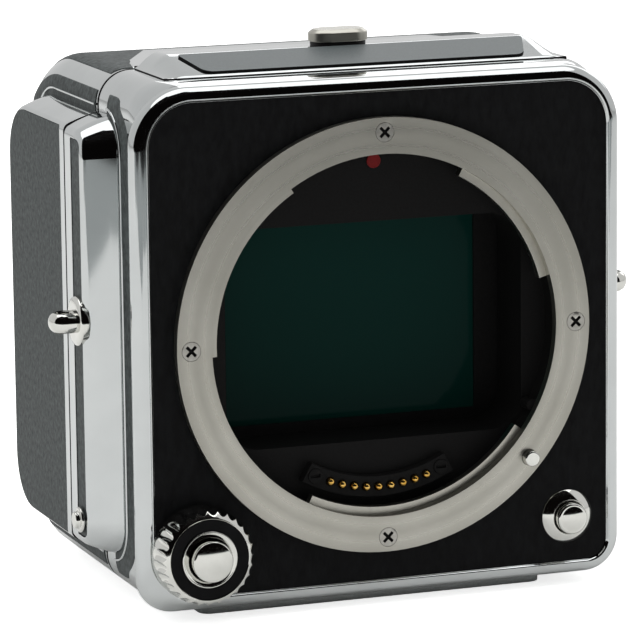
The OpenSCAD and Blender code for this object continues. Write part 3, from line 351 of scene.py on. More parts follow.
both_sides = (("left", -1), ("right", 1))
rail_low, rail_high, rail_front = 8.4, 80.9, -0.4
panel_front, panel_back, panel_r = -5.8, 5.4, 7.5
skin_start, skin_lift = 3.2, 0.14
bead_gap, bead_thick = 1.1, 0.4
bead_x, bead_low, bead_high = side_x + 0.2, rail_low - bead_gap, rail_high + bead_gap


def side_panel(inset):
    return oblong(panel_front, panel_back, low_z + inset, top_z - inset, panel_r, 0.4, 12)


for side, sign in both_sides:
    panel = stretched(f"side_leather_{side}", leather_rows(sign), side_panel)
    fit(panel, "camera_body", "side_leather", leather_with_painted_sheen, "side_strip_leather")
    rail_bead(f"side_bead_{side}", "camera_body", sign, panel_back, rail_front - bead_gap, 7.0)


# SIDE RAILS
# A proud chrome rail on each side of the front body: die cast, polished and plated, rounded all
# along its front and its ends, with a shallow pocket for a strip of the side leather.

def slab(name, outline, push):
    """A flat piece: a filled ring of points laid on an outline, then pushed out to its thickness."""
    bpy.ops.mesh.primitive_circle_add(vertices=len(outline), radius=1, fill_type="NGON")
    piece = bpy.context.object
    piece.name = piece.data.name = name
    for point, spot in zip(piece.data.vertices, outline):
        point.co = Vector(spot) * MM
    bpy.ops.object.mode_set(mode="EDIT")
    bpy.ops.mesh.select_all(action="SELECT")
    bpy.ops.mesh.extrude_region_move(TRANSFORM_OT_translate={"value": Vector(push) * MM})
    bpy.ops.mesh.select_all(action="SELECT")
    bpy.ops.mesh.normals_make_consistent(inside=False)
    bpy.ops.object.mode_set(mode="OBJECT")
    return piece


def box(name, low, high):
    """A plain block between two corners, to cut with."""
    middle = [(a + b) / 2 * MM for a, b in zip(low, high)]
    bpy.ops.mesh.primitive_cube_add(size=1, location=middle, scale=[(b - a) * MM for a, b in zip(low, high)])
    bpy.ops.object.transform_apply(location=True, rotation=True, scale=True)
    bpy.context.object.name = name
    return bpy.context.object


def carve(piece, cutter):
    """Cuts the cutter's shape out of a piece and throws the cutter away."""
    select(piece)
    cut = piece.modifiers.new("cut", "BOOLEAN")
    cut.operation, cut.object = "DIFFERENCE", cutter
    bpy.ops.object.modifier_apply(modifier=cut.name)
    bpy.data.objects.remove(cutter, do_unlink=True)


# The rail's front is a shallow curve that turns away from the front from its foot on, and then rounds over.
# A corner that stays square has a hair of a radius.
rail_x, rail_foot, rail_r, rail_steps = 46.0, 39.8, 6.2, 12
square = 0.02
rail_rows = [(rail_foot, 0.0), (side_x, 0.0)]
for start, end, length in ((13, 23, 5.24), (23, 90, 1.75)):
    for k in range(rail_steps):
        turn = math.radians(start + (end - start) * (k + 0.5) / rail_steps)
        x, inset = rail_rows[-1]
        step = length / rail_steps
        rail_rows.append((x + step * math.cos(turn), inset + step * math.sin(turn)))

# A leather field in a rail: its near, far, low and high edge, the radii of its corners and their steps.
front_field = (2.5, 7.2, 11.8, 77.5, 1.8, 0.4, 8)
pocket_x, pocket_gap = 45.4, 0.1


def front_rail_side(inset):
    end = inset * 1.15
    return oblong(rail_front + inset, seam_y, rail_low + end, rail_high - end, rail_r - inset, square, 14)


def field_block(name, sign, field, inset, x, thick):
    """A block on the outline of a leather field, or inset from it, from this X outwards."""
    near, far, low, high, near_r, far_r, steps = field
    outline = oblong(near + inset, far - inset, low + inset, high - inset, near_r - inset, far_r - inset, steps)
    return slab(name, [(sign * x, y, z) for y, z in outline], (sign * thick, 0, 0))


def inlay(name, sign, field, thick):
    """The leather that lies in a field's pocket."""
    leather = field_block(name, sign, field, pocket_gap, pocket_x - 0.02, thick)
    ease(leather, 0.15, 2)
    return leather


for side, sign in both_sides:
    rail = stretched(f"chrome_rail_{side}", [(sign * x, inset) for x, inset in rail_rows], front_rail_side)
    carve(rail, field_block("pocket", sign, front_field, 0, pocket_x, 2))
    fit(rail, "camera_body", "chrome", chrome, f"side_rail_{side}", angle=40)
    strip = inlay(f"rail_leather_{side}", sign, front_field, 0.5)
    fit(strip, "camera_body", "side_leather", leather_with_painted_sheen, "rail_strip_leather")


# STRAP LUGS AND GRIP STUD
# Forged and milled steel, polished: a domed flange on the rail's leather strip with a round tongue
# and its strap hole, and on the left a small stepped stud below that locates a grip.

# Polished stainless steel: a mirror a shade warmer and softer than the chrome, with fine turning
# marks. Real marks are about 0.05 mm apart, and are drawn at 0.2 mm so that they show.
steel_polish = mottled("polished_steel", 4, 3, ((0.3, "#cfcfca"), (0.7, "#dcdcd7")), relief=(0.02, 0.03),
                       grain=(0.2, 2), haze=(0.04, 0.11), Metallic=1.0)

lug_y, lug_z, lug_half, lug_bulge, lug_thick, hole_r = 4.7, 47.7, 2.7, 1.15, 3.2, 1.3
lug_start, hole_x, lug_end = rail_x + 0.3, rail_x + 2.3, rail_x + 5.0
flange_r, lug_steps = 4.1, 12
flange_rows = [(45.3, 0), (46.25, 0), (46.45, 0.08), (46.65, 0.28), (46.8, 0.65), (46.9, 1.3)]


def flange_ring(inset):
    reach = flange_r - inset
    turns = (2 * math.pi * k / 48 for k in range(48))
    return [(lug_y + reach * math.cos(t), lug_z + reach * math.sin(t)) for t in turns]


tongue_rows = [(lug_thick / 2 * math.sin(t), lug_bulge * (1 - math.cos(t)))
               for t in (math.pi * (k / 12 - 0.5) for k in range(13))]
hole_rows = [(lug_thick / 2 - sink, hole_r + flare) for sink, flare in ((0, 0.5), (0.12, 0.15), (0.4, 0))]
hole_rows += [(-z, r) for z, r in reversed(hole_rows)]


def tongue_point(column, row):
    """A point of the tongue: round the outside from below to above, then down the strap hole."""
    row %= len(tongue_rows) + len(hole_rows)
    z, inset = tongue_rows[row] if row < len(tongue_rows) else (0, lug_bulge)
    half = lug_half - inset
    outline = oblong(lug_start, lug_end - inset, -half, half, 0.3, half - 0.01, lug_steps)
    x, y = outline[column % len(outline)]
    if row >= len(tongue_rows):
        z, radius = hole_rows[row - len(tongue_rows)]
        turn = math.atan2(y, x - hole_x)
        x, y = hole_x + radius * math.cos(turn), radius * math.sin(turn)
    return sign * x, lug_y + y, lug_z + z


def joined(*pieces):
    """Several loose shells made one piece."""
    select(pieces[0])
    for piece in pieces:
        piece.select_set(True)
    bpy.ops.object.join()
    return pieces[0]


for side, sign in both_sides:
    tongue = shaped_grid(f"strap_lug_tongue_{side}", 4 * (lug_steps + 1) + 1,
                         len(tongue_rows) + len(hole_rows) + 1, tongue_point)
    flange = stretched("flange", [(sign * x, inset) for x, inset in flange_rows], flange_ring)
    fit(joined(tongue, flange), "camera_body", "polished_steel", steel_polish, f"strap_lug_{side}", angle=40)
dress("grip_locating_stud", "grip_stud", 0.3, 4, "camera_body", "polished_steel", steel_polish)


# LENS MOUNT
# The bayonet ring: stainless steel turned on a lathe and left satin, with three tabs and a stop
# pin in its bore. Four cross recess screws hold it on the front wall.

def paint_shade_black(piece, chosen):
    """Paints the chosen faces of a piece flat black, as painted shade in gaps and recesses."""
    piece.data.materials.append(flat_black)
    for face in piece.data.polygons:
        if chosen(face):
            face.material_index = 1


axis_z = 45.1

# Satin nickel steel, faced on a lathe: a warm grey metal with a soft gloss that follows the turning
# marks. Real marks are 0.1 mm apart, and are drawn nearly 3 mm apart so that they show.
nickel, place = placed_material("turned_satin_nickel")
centred = add_node(nickel, "Mapping", Vector=place, Location=(0, 0, -axis_z * MM))
rings = add_node(nickel, "TexWave", {"wave_type": "RINGS", "rings_direction": "Y"}, Vector=centred,
                 Scale=1 / 0.009, Distortion=0.6, Detail=3.0).outputs["Fac"]
cloud = add_node(nickel, "TexNoise", Vector=place, Scale=1 / 0.012, Detail=4.0)
haze = add_node(nickel, "MapRange", Value=rings, To_Min=0.27, To_Max=0.37)
groove = add_node(nickel, "Bump", Strength=0.05, Distance=0.00003, Height=rings)
surface(nickel, ((0.25, "#aba9a0"), (0.75, "#b8b6ae")), cloud, Metallic=1.0,
        Roughness=haze, Normal=groove)

# Flat black paint, as inside the throat: soaks up light, with a fine dry grain of 0.4 mm. It also serves as
# painted shade on faces of other pieces that are painted black in gaps and recesses.
flat_black = mottled("flat_black_paint", 0.4, 4, ((0.3, "#060606"), (0.8, "#111010")), relief=(0.3, 0.05),
                     Roughness=0.7, Specular_IOR_Level=0.18)

bore_r, groove_in, groove_out, groove_y = 29.75, 29.9, 30.35, -13.35
stop_x, stop_z, stop_r = 26.4, axis_z - 13.85, 1.3


def ring_shade(face):
    """Faces painted black as shade: the undercut behind the face of the ring, and the stop pin in its bore."""
    x, y, z = face.center / MM
    reach, from_stop = math.hypot(x, z - axis_z), math.hypot(x - stop_x, z - stop_z)
    return y > groove_y and groove_in < reach < groove_out or reach < bore_r and from_stop < stop_r


ring = dress("bayonet_ring", "lens_mount_ring", 0.24, 3, "camera_body", "satin_nickel", nickel)
# The undercut and the stop pin are painted black as shade.
paint_shade_black(ring, ring_shade)

# Bright zinc plated steel, as on small screws: grey with dull patches of 1 mm.
screw_steel = mottled("plated_screw_steel", 1, 3, ((0.3, "#a3a19b"), (0.7, "#bcbab4")), haze=(0.22, 0.4),
                      Metallic=1.0)

screws = dress("mount_screw_heads", "mount_screws", 0.08, 2, "camera_body", "steel", screw_steel)
# The cross recesses of the screw heads are painted black as shade.
shaded_recess_y = min(point.co.y for point in screws.data.vertices) + 0.12 * MM
paint_shade_black(screws, lambda face: face.center.y > shaded_recess_y)


# THROAT
# A black pressed plate with a light tunnel around the sensor window. On it sit the arc of nine
# spring contacts in a moulded block, the two screws of the block, and the red index dot.

# Hard gold plate on spring pins: rich yellow metal, slightly worn at 0.5 mm.
gold = mottled("hard_gold_plate", 0.5, 2, ((0.3, "#d9a441"), (0.7, "#f0c774")), Metallic=1.0, Roughness=0.2)

# Red enamel filled into a drilled spot: deep red, slightly glossy, with a soft mottle of 0.8 mm.
red_enamel = mottled("red_enamel", 0.8, 2, ((0.3, "#610c0c"), (0.7, "#741314")), Roughness=0.4,
                     Specular_IOR_Level=0.15)

dress("throat_baffle", "baffle_plate", 0.2, 2, "camera_body", "black_metal", flat_black)
dress("contact_carrier", "contact_block", 0.2, 2, "camera_body", "black_plastic", flat_black)
dress("carrier_screws", "block_screws", 0.1, 2, "camera_body", "black_metal", flat_black)
dress("spring_contacts", "contact_pins", 0.05, 2, "contacts", "gold_plate", gold)
dress("lens_index_dot", "index_dot", 0.12, 3, "camera_body", "red_paint", red_enamel)


# LENS RELEASE
# A conical polished bezel pressed into the front wall, and in it the domed release button. Behind
# the wall a yoke joins the button to the lock pin that stands out of the bayonet ring.

def turned(name, x, z, profile, around=96):
    """A turned piece on an axis along Y: a profile of (radius, y) carried round in one turn."""
    def spot(column, row):
        radius, y = profile[row]
        angle = 2 * math.pi * (column % around) / around
        return x + radius * math.cos(angle), y, z + radius * math.sin(angle)
    return shaped_grid(name, around + 1, len(profile), spot)


def arc(centre, radius, start, end, steps):
    """Points of a round in a profile, from one angle to another in degrees."""
    turns = [math.radians(start + (end - start) * k / steps) for k in range(steps + 1)]
    return [(centre[0] + radius * math.cos(t), centre[1] + radius * math.sin(t)) for t in turns]


def dome(tip_y, ball, edge, steps=16):
    """Points of a shallow dome from its tip out to its edge radius."""
    reaches = [edge * k / steps for k in range(steps + 1)]
    return [(r, tip_y + ball - math.sqrt(ball ** 2 - r ** 2)) for r in reaches]


control_x, control_z = 32.4, 12.1
profile = [(2.74, -12.6), (2.74, -14.3)] + arc((2.95, -14.38), 0.2, 180, 290, 5) + [(4.38, -13.6)]
profile += arc((4.36, -13.42), 0.13, -50, 0, 3) + [(4.49, -12.6), (2.74, -12.6)]
collar = turned("release_collar", control_x, control_z, profile)
fit(collar, "camera_body", "polished_steel", steel_polish, "release_bezel")

profile = dome(-16.3, 8.0, 2.15) + arc((2.2, -15.6), 0.43, -85, 0, 6) + [(2.63, -7.4), (0.0, -7.4)]
cap = turned("release_cap", control_x, control_z, profile, 64)
fit(cap, "lens_release", "polished_steel", steel_polish, "release_button")
dress("lens_lock_pin", "lock_pin", 0.3, 4, "lens_release", "polished_steel", steel_polish)
dress("release_link", "release_yoke", 0.2, 2, "lens_release", "steel", screw_steel)


# CONTROL DIAL
# A steel dial on a polished hub at the lower left, with 28 hollows scooped in its rim and a black
# ring let into its face. The shutter button slides in the middle of the hub.

# Black lacquer in the dial's face: very dark and smooth, with a faint cloud of 2 mm.
lacquer = mottled("black_lacquer", 2, 3, ((0.3, "#060607"), (0.7, "#0c0c0e")), Roughness=0.4,
                  Specular_IOR_Level=0.08)

# Each row of the dial has its radius, its place and its share of the scoop. The scoops run out in the
# front chamfer, so the chamfer's edge moves forward where they cut into it.
dial_x, dial_z = -control_x, control_z
flutes, flute_steps, scoop, chamfer = 28, 10, 0.58, 1.07
dial_rows = [(5.3, -14.15, 0), (7.6, -14.15, 0), (7.9, -14.3, 0), (7.97, -14.55, 0), (7.97, -15.0, 0.0),
             (7.95, -15.8, 0.22), (7.92, -16.6, 0.5), (7.88, -17.4, 0.75), (7.82, -18.3, 0.93),
             (7.74, -18.98, 1.0), (6.84, -19.94, 0), (6.68, -20.0, 0), (6.6, -19.95, 0), (6.56, -19.4, 0),
             (5.3, -19.4, 0), (5.3, -14.15, 0)]
front_row = 9


def dial_point(column, row):
    radius, y, share = dial_rows[row]
    turn = column % (flutes * flute_steps) / (flutes * flute_steps)
    across = 2 * (turn * flutes % 1) - 1
    hollow = scoop * share * (1 - across ** 2)
    angle = 2 * math.pi * turn
    radius -= hollow
    if row == front_row:
        y -= hollow * chamfer
    return dial_x + radius * math.cos(angle), y, dial_z + radius * math.sin(angle)


dial = shaped_grid("fluted_dial", flutes * flute_steps + 1, len(dial_rows), dial_point)
fit(dial, "dial", "polished_steel", steel_polish, "control_dial", angle=34)

ring_profile = [(4.72, -19.4), (4.72, -19.85), (4.8, -19.93), (6.46, -19.93), (6.54, -19.85), (6.54, -19.4),
                (4.72, -19.4)]
hub_profile = [(3.62, -9.6), (3.62, -19.95), (3.65, -20.05), (3.74, -20.1), (4.3, -20.15), (4.42, -20.17)]
hub_profile += arc((4.45, -19.98), 0.2, -90, 0, 4) + [(4.65, -15.2), (4.98, -14.9), (4.98, -9.6), (3.62, -9.6)]
cap_profile = dome(-22.3, 14.0, 3.02) + arc((2.923, -21.531), 0.45, -77, 0, 6)
cap_profile += [(3.373, -17.8), (1.28, -17.8), (1.28, -7.2), (0.0, -7.2)]
for name, profile, body, slot, finish, node in (
        ("dial_black_ring", ring_profile, "dial", "black_plastic", lacquer, "dial_face_ring"),
        ("dial_hub_ring", hub_profile, "camera_body", "polished_steel", steel_polish, "dial_hub"),
        ("shutter_cap", cap_profile, "shutter", "polished_steel", steel_polish, "shutter_button")):
    fit(turned(name, dial_x, dial_z, profile), body, slot, finish, node)


# INSIDE THE FRONT BODY
# What shows when the back is tilted off: the control board over the light tunnel, the black rear
# frame around the opening, and the two steel hooks that the back hangs on.

# Glass fibre board with green solder mask: copper tracks show as paler lines 0.5 mm wide.
board_green, place = placed_material("green_circuit_board")
tracks = add_node(board_green, "TexVoronoi", {"feature": "DISTANCE_TO_EDGE"}, Vector=place, Scale=1 / 0.004)
surface(board_green, ((0.05, "#2e7a4e"), (0.09, "#14502f")), tracks, Roughness=0.4)

dress("control_circuit", "control_board", 0.1, 2, "camera_body", "circuit_board", board_green)
dress("seam_frame", "rear_frame", 0.2, 2, "camera_body", "black_metal", flat_black)
dress("hanging_hooks", "back_hooks", 0.3, 3, "camera_body", "polished_steel", steel_polish)


# TOP RIDGE
# A chrome saddle on the top that rises from a skirt at its foot, painted black as the shade of the joint, and
# rounds over at both ends. It carries a bare satin plate on its slope and the slide that lets go of the back.

ridge_mid, skirt = 1.1, 0.16
ridge_y = [(-5.1, 0.0), (-5.1, 0.1), (-4.9, 0.36), (-4.5, 0.5), (0.0, 1.75), (3.2, 2.63), (3.9, 2.78),
           (4.6, 2.84), (5.4, 2.86), (9.8, 2.72), (10.1, 2.68), (seam_y, 2.5), (seam_y, 0.0)]
ridge_end = [(34.9, 0.0), (34.9, 0.02), (34.3, 0.2), (33.7, 0.42), (33.1, 0.62), (32.5, 0.79), (31.9, 0.91),
             (31.3, 0.98), (30.6, 1.0)]
ridge_x = [(ridge_mid - x, share) for x, share in ridge_end]
ridge_x += [(ridge_mid + x, share) for x, share in reversed(ridge_end)]


def ridge_point(column, row):
    (x, share), (y, rise) = ridge_x[column], ridge_y[row]
    on_rim = row in (0, len(ridge_y) - 1) or column in (0, len(ridge_x) - 1)
    return x, y, top_z - 0.6 if on_rim else top_z + max(skirt, rise * share)


def ridge_foot_shade(face):
    """The low skirt at the foot of the ridge, painted black as the shade of the joint there."""
    return max(ridge.data.vertices[i].co.z for i in face.vertices) < (top_z + skirt + 0.01) * MM


ridge = shaped_grid("chrome_ridge", len(ridge_x), len(ridge_y), ridge_point, fill=True)
fit(ridge, "camera_body", "chrome", chrome, "top_ridge", angle=30)
# The skirt at the ridge's foot is painted black as shade.
paint_shade_black(ridge, ridge_foot_shade)

# Black anodised aluminium with a bead blasted grain of 0.3 mm. Its colour is a mid grey: a painted sheen of the
# open sky on the dark metal.
plate_with_painted_sheen = mottled("black_anodised_with_painted_sheen", 0.3, 3, ((0.3, "#4a5051"), (0.8, "#555c5d")),
                      relief=(0.06, 0.03), Roughness=0.4)

plate_rise, plate_slope, plate_thick = 0.42, 0.277, 0.45
outline = rounded([(-26.6, -4.4, 2.2), (28.6, -4.4, 2.2), (31.3, 3.1, 0.5), (-29.1, 3.1, 0.5)])
outline = [(x + 0.1, y, top_z + plate_rise + (y + 4.5) * plate_slope) for x, y in outline]
plate = slab("bare_name_plate", outline, (0, 0, plate_thick))
ease(plate, 0.05, 2)
fit(plate, "camera_body", "name_plate", plate_with_painted_sheen, "name_plate")
# The plate's edges are painted flat black: a painted shadow in the gap around the plate.
paint_shade_black(plate, lambda face: face.normal.z < 0.7)

# Black moulded nylon: dark grey black with a fine even texture of 0.3 mm and a dull shine. It dresses the sole
# under the slide, a black layer that is a painted shadow under the knob.
black_plastic = mottled("black_nylon_painted_shadow", 0.3, 3, ((0.3, "#0d0c0d"), (0.8, "#161415")),
                        relief=(0.2, 0.04), Roughness=0.5, Specular_IOR_Level=0.3)

slide_y, slide_half, slide_r = 6.3, 5, 3


def slide_plan(inset):
    half, reach, radius = slide_half - inset, slide_r - inset, slide_r - 0.01 - inset
    return oblong(-half, half, slide_y - reach, slide_y + reach, radius, radius, 12)


knob = [(91.0, 0.1), (91.1, 0.0), (92.3, 0.0), (92.45, 0.06), (92.57, 0.2), (92.85, 0.6), (92.95, 0.72),
        (93.0, 0.95)]
knob = stretched("back_release_knob", knob, slide_plan, upright=True)
fit(knob, "back_release", "satin_nickel", nickel, "release_slide")
# The sole is a black layer that stands for the shadow under the knob: painted shadow.
sole = stretched("back_release_sole", [(90.38, 0.3), (91.05, 0.3)], slide_plan, upright=True)
fit(sole, "back_release", "black_plastic", black_plastic)


# FOOT
# A grey anodised plate under the body for the tripod, with a steel bush for the tripod screw and
# two slotted screws.

# Grey anodised aluminium: a soft metal sheen, with a fine sandblasted grain of 0.4 mm.
grey_alloy = mottled("grey_anodised_aluminium", 0.4, 3, ((0.3, "#9b9e9d"), (0.8, "#acafae")),
                     relief=(0.12, 0.04), Metallic=0.9, Roughness=0.45)

dress("tripod_foot", "foot_plate", 0.3, 3, "camera_body", "grey_alloy", grey_alloy)
dress("foot_screw_heads", "foot_screws", 0.12, 2, "camera_body", "steel", screw_steel)
dress("tripod_thread_bush", "tripod_bush", 0.2, 2, "camera_body", "steel", screw_steel)


# DIGITAL BACK SHELL
# The housing that hooks on behind the seam: chrome plated aluminium, rounded along all its outer
# edges, with a large round at its upper rear. It has a cavity for the electronics, an opening
# for the card door on the right, and the battery bay and the latch slot underneath.

back_y, rear_y, rear_r = 10.9, 52.4, 28.0
round_y, round_z, heel_r = 32.9, top_z - rear_r, 10


def back_side(inset, front=back_y):
    """The side outline: square at the seam, round below, with a large round above that the rear cuts off."""
    rear, radius, steps = rear_y - inset, rear_r - inset, 24
    below = rounded([(front, low_z + inset, square), (rear, low_z + inset, heel_r - inset),
                     (rear, top_z, square), (front, top_z, square)], steps)[:2 * (steps + 1)]
    limit = math.asin((rear - round_y) / radius)
    bend = [(round_y + radius * math.sin(turn), round_z + radius * math.cos(turn))
            for turn in (limit * (1 - k / steps) for k in range(steps + 1))]
    # The edge between the rear and the large round is eased: the middle one of these three corners.
    eased = rounded([(rear, bend[0][1] - 9, 0.1), (*bend[0], 4), (*bend[4], 0.1)], 8)[9:18]
    return below + eased + bend[5:] + [(front, top_z - inset)]


half = [(side_x - edge_r + edge_r * math.sin(turn), edge_r * (1 - math.cos(turn)))
        for turn in (math.pi / 2 * k / 16 for k in range(17))]
shell = stretched("chrome_back_shell", [(-x, inset) for x, inset in reversed(half)] + half, back_side)
carve(shell, stretched("cavity", [(wall - side_x, 0), (side_x - wall, 0)], lambda inset: back_side(wall, 9.0)))
door_low, door_high = (36.0, 13.6, 11.65), (50, 39.95, 77.65)
carve(shell, box("door_opening", door_low, door_high))
carve(shell, box("battery_bay", (-20.45, 24.15, 0.8), (20.45, 42.05, 6.0)))
carve(shell, box("cap_seat", (-22.6, 22.0, 1.0), (22.6, 44.2, 1.85)))
carve(shell, box("latch_slot", (-4.85, 45.05, 0.8), (7.85, 48.75, 6.0)))
fit(shell, "digital_back", "chrome", chrome, "back_shell", angle=40)


def seam_face(face):
    """The face that meets the front body; it is painted black as the shade in the seam's gap."""
    return face.normal.y < -0.9 and face.center.y < (back_y + 0.05) * MM


# The seam face of the shell is painted black as shade in the gap.
paint_shade_black(shell, seam_face)

# The rails of the back carry on from those of the front body; the right one is cut away for the door.
rail_rear, back_rail_r = 44.9, 10.5
back_field = (13.1, 42.7, 10.6, 78.7, 0.8, 8.4, 12)


def back_rail_side(inset):
    radius = back_rail_r - inset
    return oblong(back_y, rail_rear - inset, rail_low + inset, rail_high - inset, square, radius, 14)


for side, sign in both_sides:
    rail = stretched(f"chrome_back_rail_{side}", [(sign * x, inset) for x, inset in rail_rows], back_rail_side)
    if side == "left":
        carve(rail, field_block("pocket", sign, back_field, 0, pocket_x, 2))
    else:
        carve(rail, box("door_opening", door_low, door_high))
    fit(rail, "digital_back", "chrome", chrome, angle=40)
    # The seam face of each rail is painted black as shade in the gap.
    paint_shade_black(rail, seam_face)
panel = inlay("back_leather_left", -1, back_field, 0.56)
fit(panel, "digital_back", "side_leather", leather_with_painted_sheen, "back_side_leather")

# The shoulders of the back around its rails are covered in the same leather, with a bead in it.
skin_front = 11.7


def shoulder_side(inset):
    return back_side(inset, skin_front)


for side, sign in both_sides:
    skin = stretched(f"shoulder_leather_{side}", leather_rows(sign), shoulder_side)
    if side == "right":
        carve(skin, box("door_opening", door_low, door_high))
    fit(skin, "digital_back", "side_leather", leather_with_painted_sheen)
    rail_bead(f"shoulder_bead_{side}", "digital_back", sign, skin_front + 0.1, rail_rear + bead_gap, 11.5)


# The leather of the top lies between the chrome edges and follows the round at the rear. A low chrome
# pad, which carries on the line of the ridge, is let into it behind the seam.
def on_top(x, y_run, lift):
    """A point above the top of the back: run along its flat and then down its rear round."""
    sink = edge_r - math.sqrt(edge_r ** 2 - max(0.0, abs(x) - side_x + edge_r) ** 2)
    if y_run < round_y:
        return x, y_run, top_z + lift - sink
    turn = (y_run - round_y) / rear_r
    reach = rear_r + lift - sink
    return x, round_y + reach * math.sin(turn), round_z + reach * math.cos(turn)


leather_half = [34.0, 34.9, 35.8, 36.6, 37.3, 37.4]
leather_x = [-x for x in reversed(leather_half)] + leather_half
leather_y = [11.9, 12.0] + [12.0 + 1.3 * k for k in range(1, 31)] + [52.3, 52.4]


def top_leather_point(column, row):
    on_rim = column in (0, len(leather_x) - 1) or row in (0, len(leather_y) - 1)
    return on_top(leather_x[column], leather_y[row], 0.02 if on_rim else skin_lift)


pad_y = [11.1, 11.3, 14.0, 16.7, 19.2, 21.5, 23.5, 25.5, 27.5, 29.5, 31.4, 31.6]
pad_bend, pad_columns = 19.2, 6


def pad_point(column, row):
    """A point of the pad, which narrows towards the rear, and more so behind its bend."""
    y = pad_y[row]
    half = 33.8 - (y - pad_y[0]) * 0.22 if y < pad_bend else 32.0 - (y - pad_bend) * 0.52
    x = half - (0, 0.2, 0.2 + half / 4)[min(column, pad_columns - 1 - column)]
    on_rim = column in (0, pad_columns - 1) or row in (0, len(pad_y) - 1)
    return on_top(-x if column < pad_columns / 2 else x, y, 0.1 if on_rim else 0.4)


for name, columns, along, point, slot, finish, nodes in (
        ("top_leather", len(leather_x), leather_y, top_leather_point, "side_leather", leather_with_painted_sheen,
         ["back_top_leather"]),
        ("top_chrome_pad", pad_columns, pad_y, pad_point, "chrome", chrome, [])):
    cover = shaped_grid(name, columns, len(along), point)
    skin = cover.modifiers.new("skin", "SOLIDIFY")
    skin.thickness, skin.offset = 0.4 * MM, -1
    select(cover)
    bpy.ops.object.modifier_apply(modifier=skin.name)
    fit(cover, "digital_back", slot, finish, *nodes)


# SENSOR
# A black frame that reaches forward into the body, with the sensor under its coated glass. Behind
# it come the sensor's board, an aluminium block that takes its heat away, and the main board.

# Coated filter glass over silicon: a deep green with little shine, with painted light that makes it a shade
# lighter towards its upper edge.
filter_glass, place = placed_material("coated_filter_glass")
split = add_node(filter_glass, "SeparateXYZ", Vector=place)
height = add_node(filter_glass, "MapRange", Value=split.outputs["Z"], From_Min=0.028, From_Max=0.062)
surface(filter_glass, ((0.0, "#06201c"), (1.0, "#0a2b26")), height, Roughness=0.08,
        Specular_IOR_Level=0.03)

# Silicon under a colour filter: dark green with a fine grid of cells, drawn 0.25 mm wide so that they show.
silicon, place = placed_material("sensor_silicon")
cells = add_node(silicon, "TexBrick", {"offset": 0.0}, Vector=place, Scale=1 / 0.0005, Color1=linear("#0c2a26"),
                 Color2=linear("#0f322d"), Mortar=linear("#081c19"))
shader = add_node(silicon, "BsdfPrincipled", Base_Color=cells, Roughness=0.25)
add_node(silicon, "OutputMaterial", Surface=shader)

# Bare milled aluminium: pale grey with broad cutter lines 3 mm apart.
bare_alloy, place = placed_material("bare_milled_aluminium")
cutter = add_node(bare_alloy, "TexWave", {"bands_direction": "Z"}, Vector=place, Scale=1 / 0.01,
                  Distortion=1.0, Detail=2.0)
surface(bare_alloy, ((0.2, "#aeb0b1"), (0.8, "#c4c6c7")), cutter.outputs["Fac"], Metallic=1.0, Roughness=0.35)

dress("sensor_surround", "sensor_frame", 0.15, 2, "digital_back", "black_metal", flat_black)
dress("sensor_cover", "sensor_glass", 0.1, 2, "digital_back", "cover_glass", filter_glass)
dress("sensor_chip", "sensor", 0.05, 2, "digital_back", "sensor_filter", silicon)
dress("sensor_circuit", "sensor_board", 0.1, 2, "digital_back", "circuit_board", board_green)
dress("heat_spreader", "heat_block", 0.3, 2, "digital_back", "bare_alloy", bare_alloy)
dress("main_circuit", "main_board", 0.1, 2, "digital_back", "circuit_board", board_green)
dress("card_cage", "card_socket", 0.15, 2, "digital_back", "steel", screw_steel)


# CARD DOOR
# The right side panel of the back is a chrome door with a leather face, which swings on a pin at
# its rear edge and covers the card socket.

dress("card_door_leaf", "card_door", 0.3, 3, "side_door", "chrome", chrome)
dress("card_door_leather", "door_leather", 0.15, 2, "side_door", "side_leather", leather_with_painted_sheen)
dress("card_door_pin", "door_pin", 0.1, 2, "digital_back", "steel", screw_steel)


# BATTERY
# A black plastic battery slides up into the bottom of the back. Its grey cap closes the bay, and
# a small sprung latch behind it holds it.

# Textured battery plastic: charcoal with a spark eroded grain of 0.4 mm.
battery_plastic = mottled("charcoal_battery_plastic", 0.4, 4, ((0.3, "#232426"), (0.8, "#303134")),
                          relief=(0.3, 0.05), Roughness=0.6)

dress("battery_case", "battery", 0.8, 3, "battery_pack", "battery_plastic", battery_plastic)
dress("battery_end_cap", "battery_cap", 0.4, 3, "battery_pack", "grey_alloy", grey_alloy)
dress("battery_catch_knob", "battery_latch", 0.2, 2, "battery_catch", "polished_steel", steel_polish)


# REAR PANEL AND SCREEN
# The black rear panel is screwed on the back's flat rear and carries five buttons in a row. The screen
# hangs over it between two black ears, and tilts up on them.

# Black painted magnesium: even, dull, with a wrinkle of 0.5 mm.
rear_black = mottled("black_painted_magnesium", 0.5, 4, ((0.3, "#151516"), (0.8, "#202022")),
                     relief=(0.3, 0.06), Roughness=0.52, Specular_IOR_Level=0.4)

# Cover glass over a dark display: black and very smooth, with faint smears 8 mm across.
screen_glass = mottled("screen_cover_glass", 8, 5, ((0.3, "#060708"), (0.8, "#0a0c0e")), haze=(0.02, 0.08))

# Moulded silicone rubber: dark grey, soft and dry, with a fine bloom of 0.6 mm.
rubber = mottled("grey_silicone_rubber", 0.6, 3, ((0.3, "#2b2b2d"), (0.8, "#38383a")), Roughness=0.75,
                 Specular_IOR_Level=0.3)

